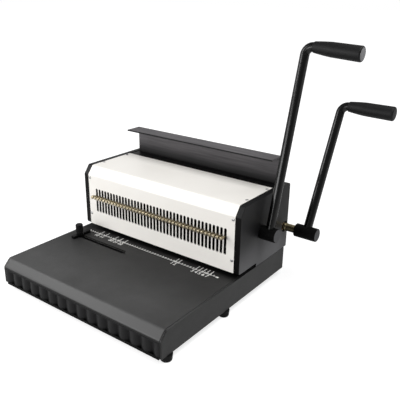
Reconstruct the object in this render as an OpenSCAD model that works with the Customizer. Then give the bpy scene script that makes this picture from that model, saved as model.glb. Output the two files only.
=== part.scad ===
// Manual punch and wire-binding machine, built up the way it comes apart on a bench.
// Lengths are in millimetres and +Z is up. Pieces are drawn in the machine's own frame:
// x = 0 at the middle of the head, y = 0 at the face of the white cover and z = 0 on the
// paper table. in_frame() then puts the origin under the middle of the machine, where it stands.

/* [Punch row] */
// Number of punches
punch_count = 40; // [34:1:44]
// Distance from one punch to the next, three to the inch
punch_pitch = 8.467; // [7.8:0.001:9.4]
// How far the middle of the punch row stands to the right of the head's middle
row_offset = 1.4; // [0:0.1:3]
// Side of a square punch
punch_side = 4; // [3.2:0.1:4.4]
// Distance of the punch row behind the white cover's face
punch_row_y = 20; // [18:0.5:23]
// Diameter of a selector pin's rod
pull_rod_d = 3.2; // [3:0.1:4.2]
// Diameter of a selector pin's knob
pull_knob_d = 7; // [5.6:0.1:7.2]
// Length of a selector pin's knob
pull_knob_l = 7.5; // [4:0.5:8]
// How far the knobs stand out of the white cover
pull_reach = 15.5; // [13:0.1:18]
// How far a selector pin pulls out to let go of its punch
pull_travel = 8; // [5:0.5:9]
// Height of the selector pins above the table
pull_z = 76.5; // [72:0.5:77]

/* [Punch head] */
// From the last punch to the outside of an end plate
end_room = 34; // [33:0.2:44]
// Depth of the head
head_d = 178; // [165:0.5:190]
// Height of the head above the table
head_h = 137; // [134:0.5:146]
// Depth of the bevel along the top front edge
head_bevel_y = 13.5; // [8:0.5:20]
// Height of the bevel along the top front edge
head_bevel_z = 18; // [12:0.5:22]
// Radius of the bends above and below that bevel
head_bend_r = 5; // [4.5:0.5:8]
// Radius of the end plates' other corners
end_corner_r = 4; // [3:0.5:6]
// Height of the paper throat under the white cover
throat_h = 7; // [6.5:0.5:9]
// Depth of the notch that leaves the throat open at both ends
throat_d = 60; // [50:1:64]
// Thickness of the end plates' sheet
end_sheet = 2.5; // [2:0.25:3]
// Width of the end plates' visible rim
rim_w = 12; // [10:0.5:13]
// Thickness of the white cover's sheet
cover_t = 1.5; // [1:0.25:2]
// Depth of the fold at the white cover's rear edge
cover_lip = 9; // [5:0.5:9.5]
// How far the selector slots run above the pins at rest
slot_over = 12.5; // [8:0.5:14]
// How far the selector slots run below the pins at full stroke
slot_under = 12; // [8:0.5:13]
// Room beside a pin in its slot
slot_side_gap = 0.7; // [0.3:0.1:0.9]

/* [Die set] */
// Thickness of the die bar
die_h = 12; // [10:0.5:14]
// Gap for paper between the die bar and the punch guide
paper_gap = 5.5; // [5:0.1:6.4]
// Height of the punch guide
guide_bar_h = 19.5; // [15:0.5:24]
// Depth of the die bar and the punch guide
die_d = 38; // [36:0.5:39]
// Distance of the paper stop behind the punch row
margin = 5.5; // [4:0.5:8]
// Height of the press beam
beam_h = 20; // [17:0.5:22]
// Wire of the punch return springs
punch_wire = 1.6; // [1.2:0.1:1.8]
// Turns of the punch return springs
punch_turns = 7; // [5:1:8]

/* [Punch lever] */
// Distance of the punch shaft behind the white cover's face
punch_shaft_y = 74; // [72:0.5:80]
// Height of the punch shaft above the table
punch_shaft_z = 68; // [64:0.5:72]
// Diameter of the punch shaft
punch_shaft_d = 16; // [12:0.5:17]
// Length of the punch lever from the shaft to the grip's middle line
punch_lever_l = 343; // [280:1:380]
// How far the punch lever leans back at rest, in degrees
punch_lean = 15.3; // [8:0.1:22]
// Swing of the punch lever, in degrees
punch_swing = 90; // [70:1:95]
// Length of the punch lever's hub
punch_hub_l = 32.4; // [30:0.2:40]
// Teeth of the pinions on the punch shaft
punch_teeth = 14; // [14:1:15]

/* [Closing lever] */
// Distance of the closing shaft in front of the head's rear face
closing_shaft_back = 12; // [12:0.5:14]
// Height of the closing shaft above the table
closing_shaft_z = 47; // [43:0.5:48]
// Diameter of the closing shaft
closing_shaft_d = 12; // [9:0.5:12.5]
// Length of the closing lever from the shaft to the grip's middle line
closing_lever_l = 259; // [220:1:270]
// How far the closing lever leans back at rest, in degrees
closing_lean = 25.7; // [18:0.1:32]
// Swing of the closing lever, in degrees
closing_swing = 100; // [80:1:100]
// Length of the closing lever's hub
closing_hub_l = 46; // [40:0.5:52]
// Length of closing shaft that shows between the end plate and the hub
closing_reach = 25.5; // [14:0.5:34]
// Diameter of the spacer sleeve on that length
closing_sleeve_d = 15.5; // [14:0.5:17]
// Teeth that a full wheel of the closing sectors would have
closing_teeth = 26; // [24:1:27]

/* [Rods and grips] */
// Diameter of the lever rods
lever_rod_d = 17; // [12:0.5:17]
// Diameter of the lever hubs
hub_d = 26.5; // [22:0.5:28]
// Radius of the rods' bend, on their middle line
bend_r = 14; // [12:0.5:22]
// How far the punch lever's grip droops below square, in degrees
punch_droop = 3.5; // [0:0.5:5]
// How far the closing lever's grip droops below square, in degrees
closing_droop = 1.5; // [0:0.5:5]
// Length of a grip
grip_l = 90; // [75:1:110]
// Diameter of a grip at its outer end
grip_d = 27.5; // [25:0.5:32]
// Diameter of a grip where it meets the rod's bend
grip_neck_d = 20; // [19.5:0.5:23]
// Module of all the teeth
tooth_m = 2; // [1.9:0.05:2.05]

/* [Wire closer] */
// How far the closing plate stands above the head at rest
plate_rise = 56.5; // [52:0.5:60]
// Thickness of the closing plate
plate_t = 3; // [2.5:0.25:3.5]
// Distance of the closing plate's rear face in front of the head's rear face
plate_back = 16; // [15:0.5:18]
// Depth of the trough between the white cover and the closing plate's rear face
trough_d = 33.5; // [31.5:0.5:33.5]
// How far the closing plate's flange reaches forward over the white cover
flange_over = 7; // [2:0.5:10]
// Gap from each end of the closing plate to the end plate's rim
plate_end_gap = 1.5; // [1:0.25:4]
// Smallest gap left between the closing plate's flange and its bed
wire_gap = 9; // [5:0.5:10]
// Thickness of the closing bed
bed_t = 16; // [13.5:0.5:18]
// Wire of the closing return springs
closing_wire = 1.4; // [1:0.1:1.6]
// Turns of the closing return springs
closing_turns = 14; // [10:1:16]

/* [Base] */
// How far the base stands out past each end plate
base_margin = 0.5; // [0:0.5:8]
// Depth of the paper table in front of the white cover
table_d = 217; // [180:1:250]
// How far the head stands out behind the base
rear_step = 8; // [2:0.5:12]
// Height of the base without its feet
base_h = 48; // [43:0.5:56]
// Thickness of the base's sheet
base_sheet = 2; // [1.5:0.25:2.5]
// Thickness of the side panels
side_t = 5; // [4:0.25:6]
// Radius of the side panels' lower front corner
cheek_r = 2.5; // [2:0.5:8]
// Depth and height of the bevel along the table's front edge
nose_bevel = 14; // [9:0.5:16]
// Radius of the bends above and below that bevel
nose_r = 8; // [4:0.5:9]
// Height of the lip that the table turns down below that bevel
nose_lip = 4.5; // [4:0.5:7]
// Thickness of the drawer's ribbed front
front_t = 12; // [10:0.5:15]
// Distance from one groove of the drawer front to the next
rib_pitch = 25.4; // [20:0.1:30]
// Depth of the grooves between the ribs
rib_depth = 4.5; // [3:0.25:5]
// How far the drawer front hangs below the base as a finger lip
front_drop = 5; // [0:0.5:6]
// Wall of the chip drawer
drawer_wall = 1.6; // [1.2:0.1:2.4]
// Diameter of a foot
foot_d = 22; // [16:0.5:24]
// Height of a foot
foot_h = 13; // [10:0.5:18]
// Distance of the front and middle feet from the side of the base, to their axes
foot_inset = 7.5; // [7.5:0.5:14]

/* [Edge guide] */
// How far the edge guide slides
guide_travel = 125; // [80:1:150]
// Distance of the guide slot in front of the white cover
guide_y = 52; // [46:0.5:70]
// Length of the edge guide's bar
guide_l = 46; // [40:0.5:60]
// Width of the edge guide's bar
guide_w = 9; // [8:0.5:12]
// Height of the edge guide's bar
guide_h = 6; // [5:0.5:8]
// Diameter of the clamp knob
knob_d = 15; // [11:0.5:18]
// Height of the clamp knob
knob_h = 21; // [16:0.5:26]
// Diameter of the clamp stud
stud_d = 5; // [4:0.25:6]

/* [Fits] */
// Radial clearance of shafts, pins and punches that run in a hole
run_gap = 0.05; // [0.02:0.01:0.1]
// Clearance between pieces that move past each other or are set in place
part_gap = 0.3; // [0.2:0.05:0.4]

/* [Hidden] */
$fn = 64;

// Selector pins at each end that slide on their own; the rest stay with the press beam
side_pins = 3;

// Colours as the photograph shows them
black_paint = "#47484a";
black_sheet = "#3a3a3c";
black_steel = "#232325";
black_rubber = "#1b1b1c";
white_paint = "#ecebe6";
bright_steel = "#b9bbbd";
yellow_zinc = "#a88b4c";
bronze = "#9a7440";
grey_cap = "#6a6a6c";

// Widths, all built up from the punch row
row_hw = (punch_count - 1) / 2 * punch_pitch;
head_hw = row_hw + end_room;
rim_in = head_hw - rim_w;
wall_in = head_hw - end_sheet;
beam_hw = row_hw + 7;
die_hw = beam_hw + 6;
base_hw = head_hw + base_margin;
table_hw = base_hw - side_t;
plate_hw = rim_in - plate_end_gap;
punch_rack_x = beam_hw - 22;
closing_rack_x = beam_hw - 32;
punch_spring_x = beam_hw - 62;

// Depths
base_front = -table_d;
base_rear = head_d - rear_step;
rear_wall_y = head_d - end_sheet;
die_y0 = punch_row_y - 12;
die_y1 = die_y0 + die_d;
beam_y0 = punch_row_y - 10;
beam_y1 = die_y1 - 2;
tongue_y0 = punch_row_y;
tongue_y1 = punch_row_y + 10;
spring_y = beam_y1 - 10;
closing_shaft_y = head_d - closing_shaft_back;
plate_y1 = head_d - plate_back;
plate_y0 = plate_y1 - plate_t;
cover_d = plate_y1 - trough_d;
bed_y0 = cover_d + 2;
bed_y1 = plate_y0 - 2;

// Teeth
tooth_add = 0.8 * tooth_m;
tooth_ded = 1.0 * tooth_m;
tooth_play = 0.08;
pressure_angle = 20;
punch_pr = punch_teeth * tooth_m / 2;
closing_pr = closing_teeth * tooth_m / 2;
punch_stroke = punch_swing * PI / 180 * punch_pr;
closing_stroke = closing_swing * PI / 180 * closing_pr;
rack_w = 12;
sector_hub_d = closing_shaft_d + 5;

// Heights
base_bot = -base_h;
stand_h = base_h + foot_h;
guide_top = paper_gap + guide_bar_h;
punch_bot = paper_gap + 2.5;
beam_bot = pull_z - beam_h / 2;
beam_top = beam_bot + beam_h;
pocket_top = beam_top - 4;
slot_top = pull_z + slot_over;
slot_bot = pull_z - punch_stroke - slot_under;
drawer_top = -max(die_h + 5, nose_bevel + nose_lip + 2 * part_gap);
plate_top = head_h + plate_rise;
bed_top = plate_top - plate_t - closing_stroke - wire_gap;
bed_bot = bed_top - bed_t;
plate_bot = closing_shaft_z + sector_hub_d / 2 + 1.2 + closing_stroke;
bracket_h = min(9, bed_bot - plate_bot - 2 * part_gap);
punch_rack_z0 = punch_shaft_z - 6;
punch_rack_z1 = punch_shaft_z + punch_stroke + 6;
closing_rack_z0 = closing_shaft_z - 8;
closing_rack_y1 = closing_shaft_y - closing_pr;
closing_rack_y0 = closing_rack_y1 - tooth_ded - 11;
closing_spring_y = (closing_rack_y0 + closing_rack_y1 - tooth_ded) / 2;

// Springs
spring_d = 12;
seat_d = spring_d + 2 * part_gap;
punch_seat_low = 4;
punch_seat_high = 5;

// Levers
punch_rod_x = head_hw + 2 * part_gap + punch_hub_l / 2;
closing_hub_x0 = head_hw + closing_reach;
closing_rod_x = closing_hub_x0 + closing_hub_l / 2;
grip_wall_end = 8;
grip_flare = 0.36;
grip_belly = 1.2;
cap_d = grip_d - 5;
cap_t = 3;

// Edge guide
guide_x = -(head_hw - 32.8);
slot_end_room = 4;

// Feet: front, middle and rear pair, as distances from the side and from the front
foot_places = [[foot_inset, 20], [foot_inset, table_d - 36], [33, table_d + base_rear - 25]];
foot_xy = [for (f = foot_places, s = [-1, 1]) [s * (base_hw - f[0]), base_front + f[1]]];
foot_screw_d = 8;
foot_screw_deep = 6;

// Screws of the white cover: heights on the face, depths on the top
screw_x = head_hw - 16.5;
face_screw_z = [throat_h + 25.4, head_h - head_bevel_z - 6];
top_screw_y = [head_bevel_y + 29, cover_d - 14.4];
screw_d = 3;
screw_head_d = 6;
screw_head_h = 1.6;
screw_l = cover_t + end_sheet + 3;
flange_in = screw_x - 8;
bolt_d = 6;
bolt_head_d = 9.5;
bolt_head_h = 4;
bolt_l = 16;

// Where the machine's middle lies, from its outermost pieces
reach_x = closing_rod_x + bend_r + grip_l;
reach_y = closing_shaft_y + closing_lever_l * sin(closing_lean) + grip_neck_d / 2;
reach_left = base_hw + max(0, foot_d / 2 - foot_inset);
frame_x = (reach_x - reach_left) / 2;
frame_y = (reach_y + base_front) / 2;

function punch_x(i) = row_offset + i * punch_pitch - row_hw;

module in_frame() translate([-frame_x, -frame_y, stand_h]) children();

// Extrudes a (y, z) outline along X
module along_x(x0, x1) translate([x0, 0, 0]) rotate([90, 0, 90]) linear_extrude(x1 - x0) children();

module block(x0, x1, y0, y1, z0, z1) translate([x0, y0, z0]) cube([x1 - x0, y1 - y0, z1 - z0]);

module rod_x(x0, x1, y, z, d) translate([x0, y, z]) rotate([0, 90, 0]) cylinder(h = x1 - x0, d = d);

module rod_y(x, y0, y1, z, d) translate([x, y0, z]) rotate([-90, 0, 0]) cylinder(h = y1 - y0, d = d);

module rod_z(x, y, z0, z1, d) translate([x, y, z0]) cylinder(h = z1 - z0, d = d);

module both_sides() {
  children();
  mirror([1, 0, 0]) children();
}

// Points of a bend of radius r at the corner b, on the way from a to c
bend_steps = 6;
function unit(v) = v / norm(v);
function bend(a, b, c, r) = r <= 0 ? [b] :
  let (u = unit(a - b), v = unit(c - b), half = acos(u * v) / 2,
       mid = b + unit(u + v) * r / sin(half),
       p0 = b + u * r / tan(half) - mid, p1 = b + v * r / tan(half) - mid,
       a0 = atan2(p0[1], p0[0]), turn = (atan2(p1[1], p1[0]) - a0 + 540) % 360 - 180)
  [for (i = [0:bend_steps]) mid + r * [cos(a0 + turn * i / bend_steps), sin(a0 + turn * i / bend_steps)]];

function reversed(list) = [for (i = [len(list) - 1:-1:0]) list[i]];

// The two corners of the head's bevel, moved inward by inset
bevel_l = norm([head_bevel_y, head_bevel_z]);
function bevel_corners(inset) = [
  [inset, head_h - head_bevel_z + inset * (head_bevel_z - bevel_l) / head_bevel_y],
  [head_bevel_y + inset * (bevel_l - head_bevel_y) / head_bevel_z, head_h - inset]];

// Face, bevel and top of the head, from the height z0 up and back to y1
function head_line(inset, z0, y1) =
  let (p = bevel_corners(inset), a = [inset, z0], d = [y1, head_h - inset], r = head_bend_r - inset)
  concat([a], bend(a, p[0], p[1], r), bend(p[0], p[1], d, r), [d]);

// A bent strip that follows the face, bevel and top between two insets
function bent_strip(outer, inner, z0, y1) =
  concat(head_line(outer, z0, y1), reversed(head_line(inner, z0, y1)));

// The end wall's outline, with the paper notch at its foot and rounded corners
function end_outline(inset, rear, r) =
  let (p = bevel_corners(inset), foot = [inset, throat_h], back = [rear, head_h - inset],
       rb = head_bend_r - inset)
  concat(bend([throat_d, throat_h], foot, p[0], r), bend(foot, p[0], p[1], rb), bend(p[0], p[1], back, rb),
         bend(p[1], back, [rear, 0], r), [[rear, 0], [throat_d, 0], [throat_d, throat_h]]);

// The base's top and front, from the rear to the height z1 on the front, moved inward by inset
function nose_line(inset, z1) =
  let (rear = [base_rear, -inset], top = [base_front + nose_bevel + inset * tan(22.5), -inset],
       low = [base_front + inset, -nose_bevel - inset * tan(22.5)], foot = [base_front + inset, z1],
       r = nose_r - inset)
  concat([rear], bend(rear, top, low, r), bend(top, low, foot, r), [foot]);

// Base

module base_top() color(black_paint) in_frame() difference() {
  lip_z = -nose_bevel - nose_lip;
  along_x(-table_hw, table_hw)
    polygon(concat(nose_line(0, lip_z), reversed(nose_line(base_sheet, lip_z))));
  block(-die_hw - part_gap, die_hw + part_gap, die_y0 - part_gap, die_y1 + part_gap, -base_sheet - 1, 1);
  both_sides() block(closing_rack_x - rack_w / 2 - 1, closing_rack_x + rack_w / 2 + 1,
    closing_rack_y0 - 1, closing_rack_y1 + tooth_add + 1, -base_sheet - 1, 1);
  guide_slot();
}

module guide_slot() {
  d = stud_d + 2 * part_gap;
  x0 = guide_x - slot_end_room;
  x1 = guide_x + guide_travel + slot_end_room;
  rod_z(x0, -guide_y, -base_sheet - 1, 1, d);
  rod_z(x1, -guide_y, -base_sheet - 1, 1, d);
  block(x0, x1, -guide_y - d / 2, -guide_y + d / 2, -base_sheet - 1, 1);
}

module base_side() along_x(table_hw, base_hw) polygon(concat(
  nose_line(0, base_bot + cheek_r),
  bend([base_front, 0], [base_front, base_bot], [base_rear, base_bot], cheek_r),
  [[base_rear, base_bot]]));

module base_side_left() color(black_paint) in_frame() mirror([1, 0, 0]) base_side();

module base_side_right() color(black_paint) in_frame() base_side();

module base_pan() color(black_paint) in_frame() {
  difference() {
    along_x(-table_hw, table_hw) polygon([
      [base_front + front_t + 1, base_bot], [base_rear, base_bot], [base_rear, -base_sheet],
      [base_rear - base_sheet, -base_sheet], [base_rear - base_sheet, base_bot + base_sheet],
      [base_front + front_t + 1, base_bot + base_sheet]]);
    for (p = foot_xy) rod_z(p[0], p[1], base_bot - 1, base_bot + base_sheet + 1, screw_d + 1);
  }
}

module rubber_feet() color(black_rubber) in_frame()
  for (p = foot_xy) translate([p[0], p[1], base_bot - foot_h]) difference() {
    rotate_extrude() polygon(concat(
      [[0, foot_h], [0, 0]],
      [for (a = [0:15:90]) [foot_d / 2 - 4 + 3 * sin(a), 3 - 3 * cos(a)]],
      [[foot_d / 2, foot_h]]));
    translate([0, 0, -1]) cylinder(h = foot_screw_deep + 1, d = foot_screw_d);
    cylinder(h = foot_h + 1, d = screw_d + 1);
  }

module foot_screws() color(bright_steel) in_frame()
  for (p = foot_xy) {
    z0 = base_bot - foot_h + foot_screw_deep;
    rod_z(p[0], p[1], z0 - 2.5, z0, foot_screw_d - 1);
    rod_z(p[0], p[1], z0, base_bot + base_sheet, screw_d);
  }

// Chip drawer

rail_w = 6;
rail_h = 8;
drawer_hw = table_hw - rail_w - part_gap;
drawer_y0 = base_front + front_t;
drawer_y1 = die_y1 + 2;
drawer_bot = base_bot + base_sheet + part_gap;

module drawer_rails() color(bright_steel) in_frame() both_sides()
  block(table_hw - rail_w, table_hw, drawer_y0 + 2, drawer_y1,
    base_bot + base_sheet, base_bot + base_sheet + rail_h);

module drawer_tray() color(black_sheet) in_frame() difference() {
  block(-drawer_hw, drawer_hw, drawer_y0, drawer_y1, drawer_bot, drawer_top);
  block(-drawer_hw + drawer_wall, drawer_hw - drawer_wall, drawer_y0 + drawer_wall,
    drawer_y1 - drawer_wall, drawer_bot + drawer_wall, drawer_top + 1);
}

// Ribbed front: convex ribs between even grooves, under a plain strip, cut back to a finger lip at the foot
module drawer_front() color(black_sheet) in_frame() {
  hw = table_hw - part_gap;
  z0 = base_bot + part_gap;
  lip_z = base_bot - front_drop;
  z1 = -nose_bevel - nose_lip - 2 * part_gap;
  strip_h = 1.5;
  chord = rib_pitch / 2 - 0.8;
  rib_r = (chord * chord + rib_depth * rib_depth) / (2 * rib_depth);
  grooves = floor(hw / rib_pitch);
  undercut_d = rib_depth + 2;
  undercut_h = 9;
  lip_back = base_front + undercut_d + 1.5;
  difference() {
    union() {
      block(-hw, hw, base_front + rib_depth, drawer_y0, z0, z1);
      block(-hw, hw, base_front, drawer_y0, z1 - strip_h, z1);
      block(-hw, hw, base_front + rib_depth, lip_back, lip_z, z1);
      intersection() {
        block(-hw, hw, base_front, base_front + rib_depth + 1, lip_z, z1);
        for (i = [-grooves - 1:grooves])
          rod_z((i + 0.5) * rib_pitch, base_front + rib_r, lip_z, z1, 2 * rib_r);
      }
    }
    along_x(-hw - 1, hw + 1)
      polygon([[base_front - 1, lip_z - 1], [base_front + undercut_d, lip_z - 1],
        [base_front + undercut_d, lip_z], [base_front, lip_z + undercut_h], [base_front - 1, lip_z + undercut_h]]);
  }
}

// End plates and bearings

closing_hole_d = closing_shaft_d + 10;
punch_hole_d = punch_shaft_d + 2;
punch_bush_d = punch_shaft_d + 4;
closing_bush_d = closing_shaft_d + 3;
bush_flange_t = 1.5;

// What the rim goes round, open at the foot
function rim_hollow() =
  let (back = [rear_wall_y, head_h - end_sheet], face = head_line(end_sheet, -1, rear_wall_y - 9),
       r = end_corner_r - end_sheet)
  concat(face, bend(face[len(face) - 1], back, [rear_wall_y, 0], r), [[rear_wall_y, -1]]);

module end_plate(with_holes) difference() {
  union() {
    along_x(wall_in, head_hw) polygon(end_outline(0, head_d, end_corner_r));
    along_x(rim_in, head_hw) difference() {
      polygon(end_outline(0, head_d, end_corner_r));
      polygon(rim_hollow());
    }
    along_x(flange_in, rim_in + 1)
      polygon(bent_strip(cover_t, cover_t + end_sheet, throat_h + 1, cover_d - cover_t - 1));
  }
  screw_holes();
  if (with_holes) {
    rod_x(wall_in - 1, head_hw + 1, punch_shaft_y, punch_shaft_z, punch_hole_d);
    rod_x(wall_in - 1, head_hw + 1, closing_shaft_y, closing_shaft_z, closing_hole_d);
  }
}

module screw_holes() {
  for (z = face_screw_z) rod_y(screw_x, -1, screw_l + 1, z, screw_d + 0.4);
  for (y = top_screw_y) rod_z(screw_x, y, head_h - screw_l - 1, head_h + 1, screw_d + 0.4);
}

module end_plate_left() color(black_sheet) in_frame() mirror([1, 0, 0]) end_plate(false);

module end_plate_right() color(black_sheet) in_frame() end_plate(true);

bolt_yz = [[die_y0 + 8, paper_gap + guide_bar_h / 2], [die_y1 - 8, paper_gap + guide_bar_h / 2],
  [bed_y0 + 7, bed_top - 10.6], [bed_y1 - 7, bed_top - 10.6]];

module bearing_plate() difference() {
  inset = cover_t + end_sheet + part_gap;
  along_x(rim_in, wall_in) polygon(end_outline(inset, rear_wall_y - part_gap, 0));
  rod_x(rim_in - 1, wall_in + 1, punch_shaft_y, punch_shaft_z, punch_bush_d);
  rod_x(rim_in - 1, wall_in + 1, closing_shaft_y, closing_shaft_z, closing_bush_d);
  bolt_holes();
}

module bolt_holes() for (p = bolt_yz) {
  rod_x(wall_in - bolt_l - 1, wall_in + 1, p[0], p[1], bolt_d + 0.4);
  rod_x(wall_in - bolt_head_h, wall_in + 1, p[0], p[1], bolt_head_d + 0.4);
}

module bearing_plate_left() color(bright_steel) in_frame() mirror([1, 0, 0]) bearing_plate();

module bearing_plate_right() color(bright_steel) in_frame() bearing_plate();

module frame_bolts() color(black_steel) in_frame() both_sides() for (p = bolt_yz) difference() {
  union() {
    rod_x(wall_in - bolt_l, wall_in - 0.5, p[0], p[1], bolt_d);
    rod_x(wall_in - bolt_head_h, wall_in - 0.5, p[0], p[1], bolt_head_d);
  }
  translate([wall_in - 2.5, p[0], p[1]]) rotate([0, 90, 0]) cylinder(h = 4, d = 5, $fn = 6);
}

module bush(y, z, shaft_d, outer_d) difference() {
  union() {
    rod_x(rim_in, wall_in, y, z, outer_d);
    rod_x(rim_in - bush_flange_t, rim_in, y, z, outer_d + 3);
  }
  rod_x(rim_in - bush_flange_t - 1, wall_in + 1, y, z, shaft_d + 2 * run_gap);
}

module shaft_bushes() color(bronze) in_frame() both_sides() {
  bush(punch_shaft_y, punch_shaft_z, punch_shaft_d, punch_bush_d);
  bush(closing_shaft_y, closing_shaft_z, closing_shaft_d, closing_bush_d);
}

// White cover

module front_cover() color(white_paint) in_frame() {
  hw = rim_in - part_gap;
  slot_w = pull_rod_d + 2 * slot_side_gap;
  difference() {
    union() {
      along_x(-hw, hw) polygon(bent_strip(0, cover_t, throat_h + part_gap, cover_d));
      block(-hw, hw, cover_d - cover_t, cover_d, head_h - cover_lip, head_h - cover_t / 2);
    }
    for (i = [0:punch_count - 1]) {
      rod_y(punch_x(i), -1, cover_t + 1, slot_bot, slot_w);
      rod_y(punch_x(i), -1, cover_t + 1, slot_top, slot_w);
      block(punch_x(i) - slot_w / 2, punch_x(i) + slot_w / 2, -1, cover_t + 1, slot_bot, slot_top);
    }
    both_sides() screw_holes();
  }
}

module cover_screws() color(bright_steel) in_frame() both_sides() {
  for (z = face_screw_z) {
    rod_y(screw_x, -screw_head_h, 0, z, screw_head_d);
    rod_y(screw_x, 0, screw_l, z, screw_d);
  }
  for (y = top_screw_y) {
    rod_z(screw_x, y, head_h, head_h + screw_head_h, screw_head_d);
    rod_z(screw_x, y, head_h - screw_l, head_h, screw_d);
  }
}

// Die set

module punch_holes(side, z0, z1) for (i = [0:punch_count - 1])
  block(punch_x(i) - side / 2, punch_x(i) + side / 2, punch_row_y - side / 2, punch_row_y + side / 2, z0, z1);

module die_bar() color(bright_steel) in_frame() difference() {
  seat = 6;
  union() {
    block(-die_hw, die_hw, die_y0, die_y1, -die_h, 0);
    block(-die_hw, die_hw, die_y0 - seat, die_y1 + seat, -die_h, -base_sheet);
  }
  punch_holes(punch_side + 2 * run_gap, -die_h - 1, 1);
  punch_holes(punch_side + 1.5, -die_h - 1, -die_h / 2);
}

module paper_stop() color(bright_steel) in_frame()
  block(-die_hw, die_hw, punch_row_y + margin, punch_row_y + margin + 4, 0, paper_gap);

module punch_guide() color(bright_steel) in_frame() difference() {
  block(-rim_in, rim_in, die_y0, die_y1, paper_gap, guide_top);
  punch_holes(punch_side + 2 * run_gap, paper_gap - 1, guide_top + 1);
  both_sides() {
    rod_z(punch_spring_x, spring_y, guide_top - punch_seat_low, guide_top + 1, seat_d);
    bolt_holes();
  }
}

module beam_guides() color(bright_steel) in_frame() both_sides() difference() {
  block(beam_hw + 1, rim_in, tongue_y0 - 7, tongue_y1 + 7, guide_top, beam_top + 10);
  block(beam_hw, rim_in - 4, tongue_y0 - part_gap, tongue_y1 + part_gap, guide_top - 1, beam_top + part_gap);
}

// Press beam, punches and selector pins

tip_d = 2.4;
tip_l = 2.2;
pull_shoulder_y = punch_row_y - punch_side / 2 - part_gap;
pocket_side = punch_side + 2 * run_gap;

module press_beam() color(black_steel) in_frame() difference() {
  union() {
    block(-beam_hw, beam_hw, beam_y0, beam_y1, beam_bot, beam_top);
    block(-rim_in + 4 + part_gap, rim_in - 4 - part_gap, tongue_y0, tongue_y1, beam_bot, beam_top);
  }
  punch_holes(pocket_side, beam_bot - 1, pocket_top);
  for (i = [0:punch_count - 1])
    rod_y(punch_x(i), beam_y0 - 1, punch_row_y - punch_side / 2 + 0.2, pull_z, pull_rod_d + 2 * run_gap);
  both_sides() rod_z(punch_spring_x, spring_y, beam_bot - 1, beam_bot + punch_seat_high, seat_d);
}

module punches() color(bright_steel) in_frame() difference() {
  punch_holes(punch_side, punch_bot, pocket_top - run_gap);
  for (i = [0:punch_count - 1])
    rod_y(punch_x(i), punch_row_y - punch_side, punch_row_y + 0.8, pull_z, tip_d + 0.2);
}

module pull_pin(i) translate([punch_x(i), 0, pull_z]) rotate([-90, 0, 0]) rotate_extrude() polygon(concat(
  [[0, -pull_reach]],
  [for (a = [0:30:90]) [pull_knob_d / 2 - 1 + sin(a), -pull_reach + 1 - cos(a)]],
  [[pull_knob_d / 2, pull_knob_l - pull_reach], [pull_rod_d / 2, pull_knob_l - pull_reach],
   [pull_rod_d / 2, pull_shoulder_y], [tip_d / 2, pull_shoulder_y],
   [tip_d / 2, pull_shoulder_y + tip_l], [0, pull_shoulder_y + tip_l]]));

module pull_pins() color(yellow_zinc) in_frame()
  for (i = [side_pins:punch_count - 1 - side_pins]) pull_pin(i);

module pull_pin_left_1() color(yellow_zinc) in_frame() pull_pin(0);

module pull_pin_left_2() color(yellow_zinc) in_frame() pull_pin(1);

module pull_pin_left_3() color(yellow_zinc) in_frame() pull_pin(2);

module pull_pin_right_1() color(yellow_zinc) in_frame() pull_pin(punch_count - 1);

module pull_pin_right_2() color(yellow_zinc) in_frame() pull_pin(punch_count - 2);

module pull_pin_right_3() color(yellow_zinc) in_frame() pull_pin(punch_count - 3);

// Teeth

function involute(a) = tan(a) * 180 / PI - a;

// Half the angle that a tooth of n teeth covers at radius r, in degrees
function tooth_half(n, r) =
  let (pr = n * tooth_m / 2, br = pr * cos(pressure_angle), play = tooth_play / pr * 180 / PI)
  90 / n - play + involute(pressure_angle) - involute(acos(min(1, br / max(r, br))));

// One tooth's flanks, up and down again, on a tooth that points along angle a
function tooth_points(n, a) =
  let (pr = n * tooth_m / 2, r0 = pr - tooth_ded, r1 = pr + tooth_add, steps = 4,
       rs = [for (i = [0:steps]) r0 + (r1 - r0) * i / steps])
  concat([for (r = rs) r * [cos(a - tooth_half(n, r)), sin(a - tooth_half(n, r))]],
         [for (i = [steps:-1:0]) rs[i] * [cos(a + tooth_half(n, rs[i])), sin(a + tooth_half(n, rs[i]))]]);

// Rack teeth that face +Y, with a gap at height z_gap
module rack_teeth(y_pitch, z_gap, z0, z1) {
  step = PI * tooth_m;
  half = step / 4 - tooth_play;
  slope = tan(pressure_angle);
  first = ceil((z0 - z_gap) / step);
  last = floor((z1 - z_gap) / step) - 1;
  for (k = [first:last]) {
    z = z_gap + (k + 0.5) * step;
    polygon([[y_pitch - tooth_ded - 0.5, z - half - tooth_ded * slope],
             [y_pitch - tooth_ded, z - half - tooth_ded * slope],
             [y_pitch + tooth_add, z - half + tooth_add * slope],
             [y_pitch + tooth_add, z + half - tooth_add * slope],
             [y_pitch - tooth_ded, z + half + tooth_ded * slope],
             [y_pitch - tooth_ded - 0.5, z + half + tooth_ded * slope]]);
  }
}

module punch_racks() color(bright_steel) in_frame() both_sides() {
  y_pitch = punch_shaft_y - punch_pr;
  along_x(punch_rack_x - rack_w / 2, punch_rack_x + rack_w / 2) {
    translate([beam_y1, punch_rack_z0])
      square([y_pitch - tooth_ded - beam_y1, punch_rack_z1 - punch_rack_z0]);
    rack_teeth(y_pitch, punch_shaft_z, punch_rack_z0, punch_rack_z1);
  }
}

module punch_shaft() color(bright_steel) in_frame()
  rod_x(-wall_in + 0.5, punch_rod_x - lever_rod_d / 2 - 0.5, punch_shaft_y, punch_shaft_z, punch_shaft_d);

module punch_pinions() color(bright_steel) in_frame() both_sides() difference() {
  translate([punch_rack_x, punch_shaft_y, punch_shaft_z]) along_x(-rack_w / 2, rack_w / 2)
    polygon([for (k = [0:punch_teeth - 1]) each tooth_points(punch_teeth, 180 + k * 360 / punch_teeth)]);
  rod_x(0, rim_in, punch_shaft_y, punch_shaft_z, punch_shaft_d + 2 * run_gap);
}

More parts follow.
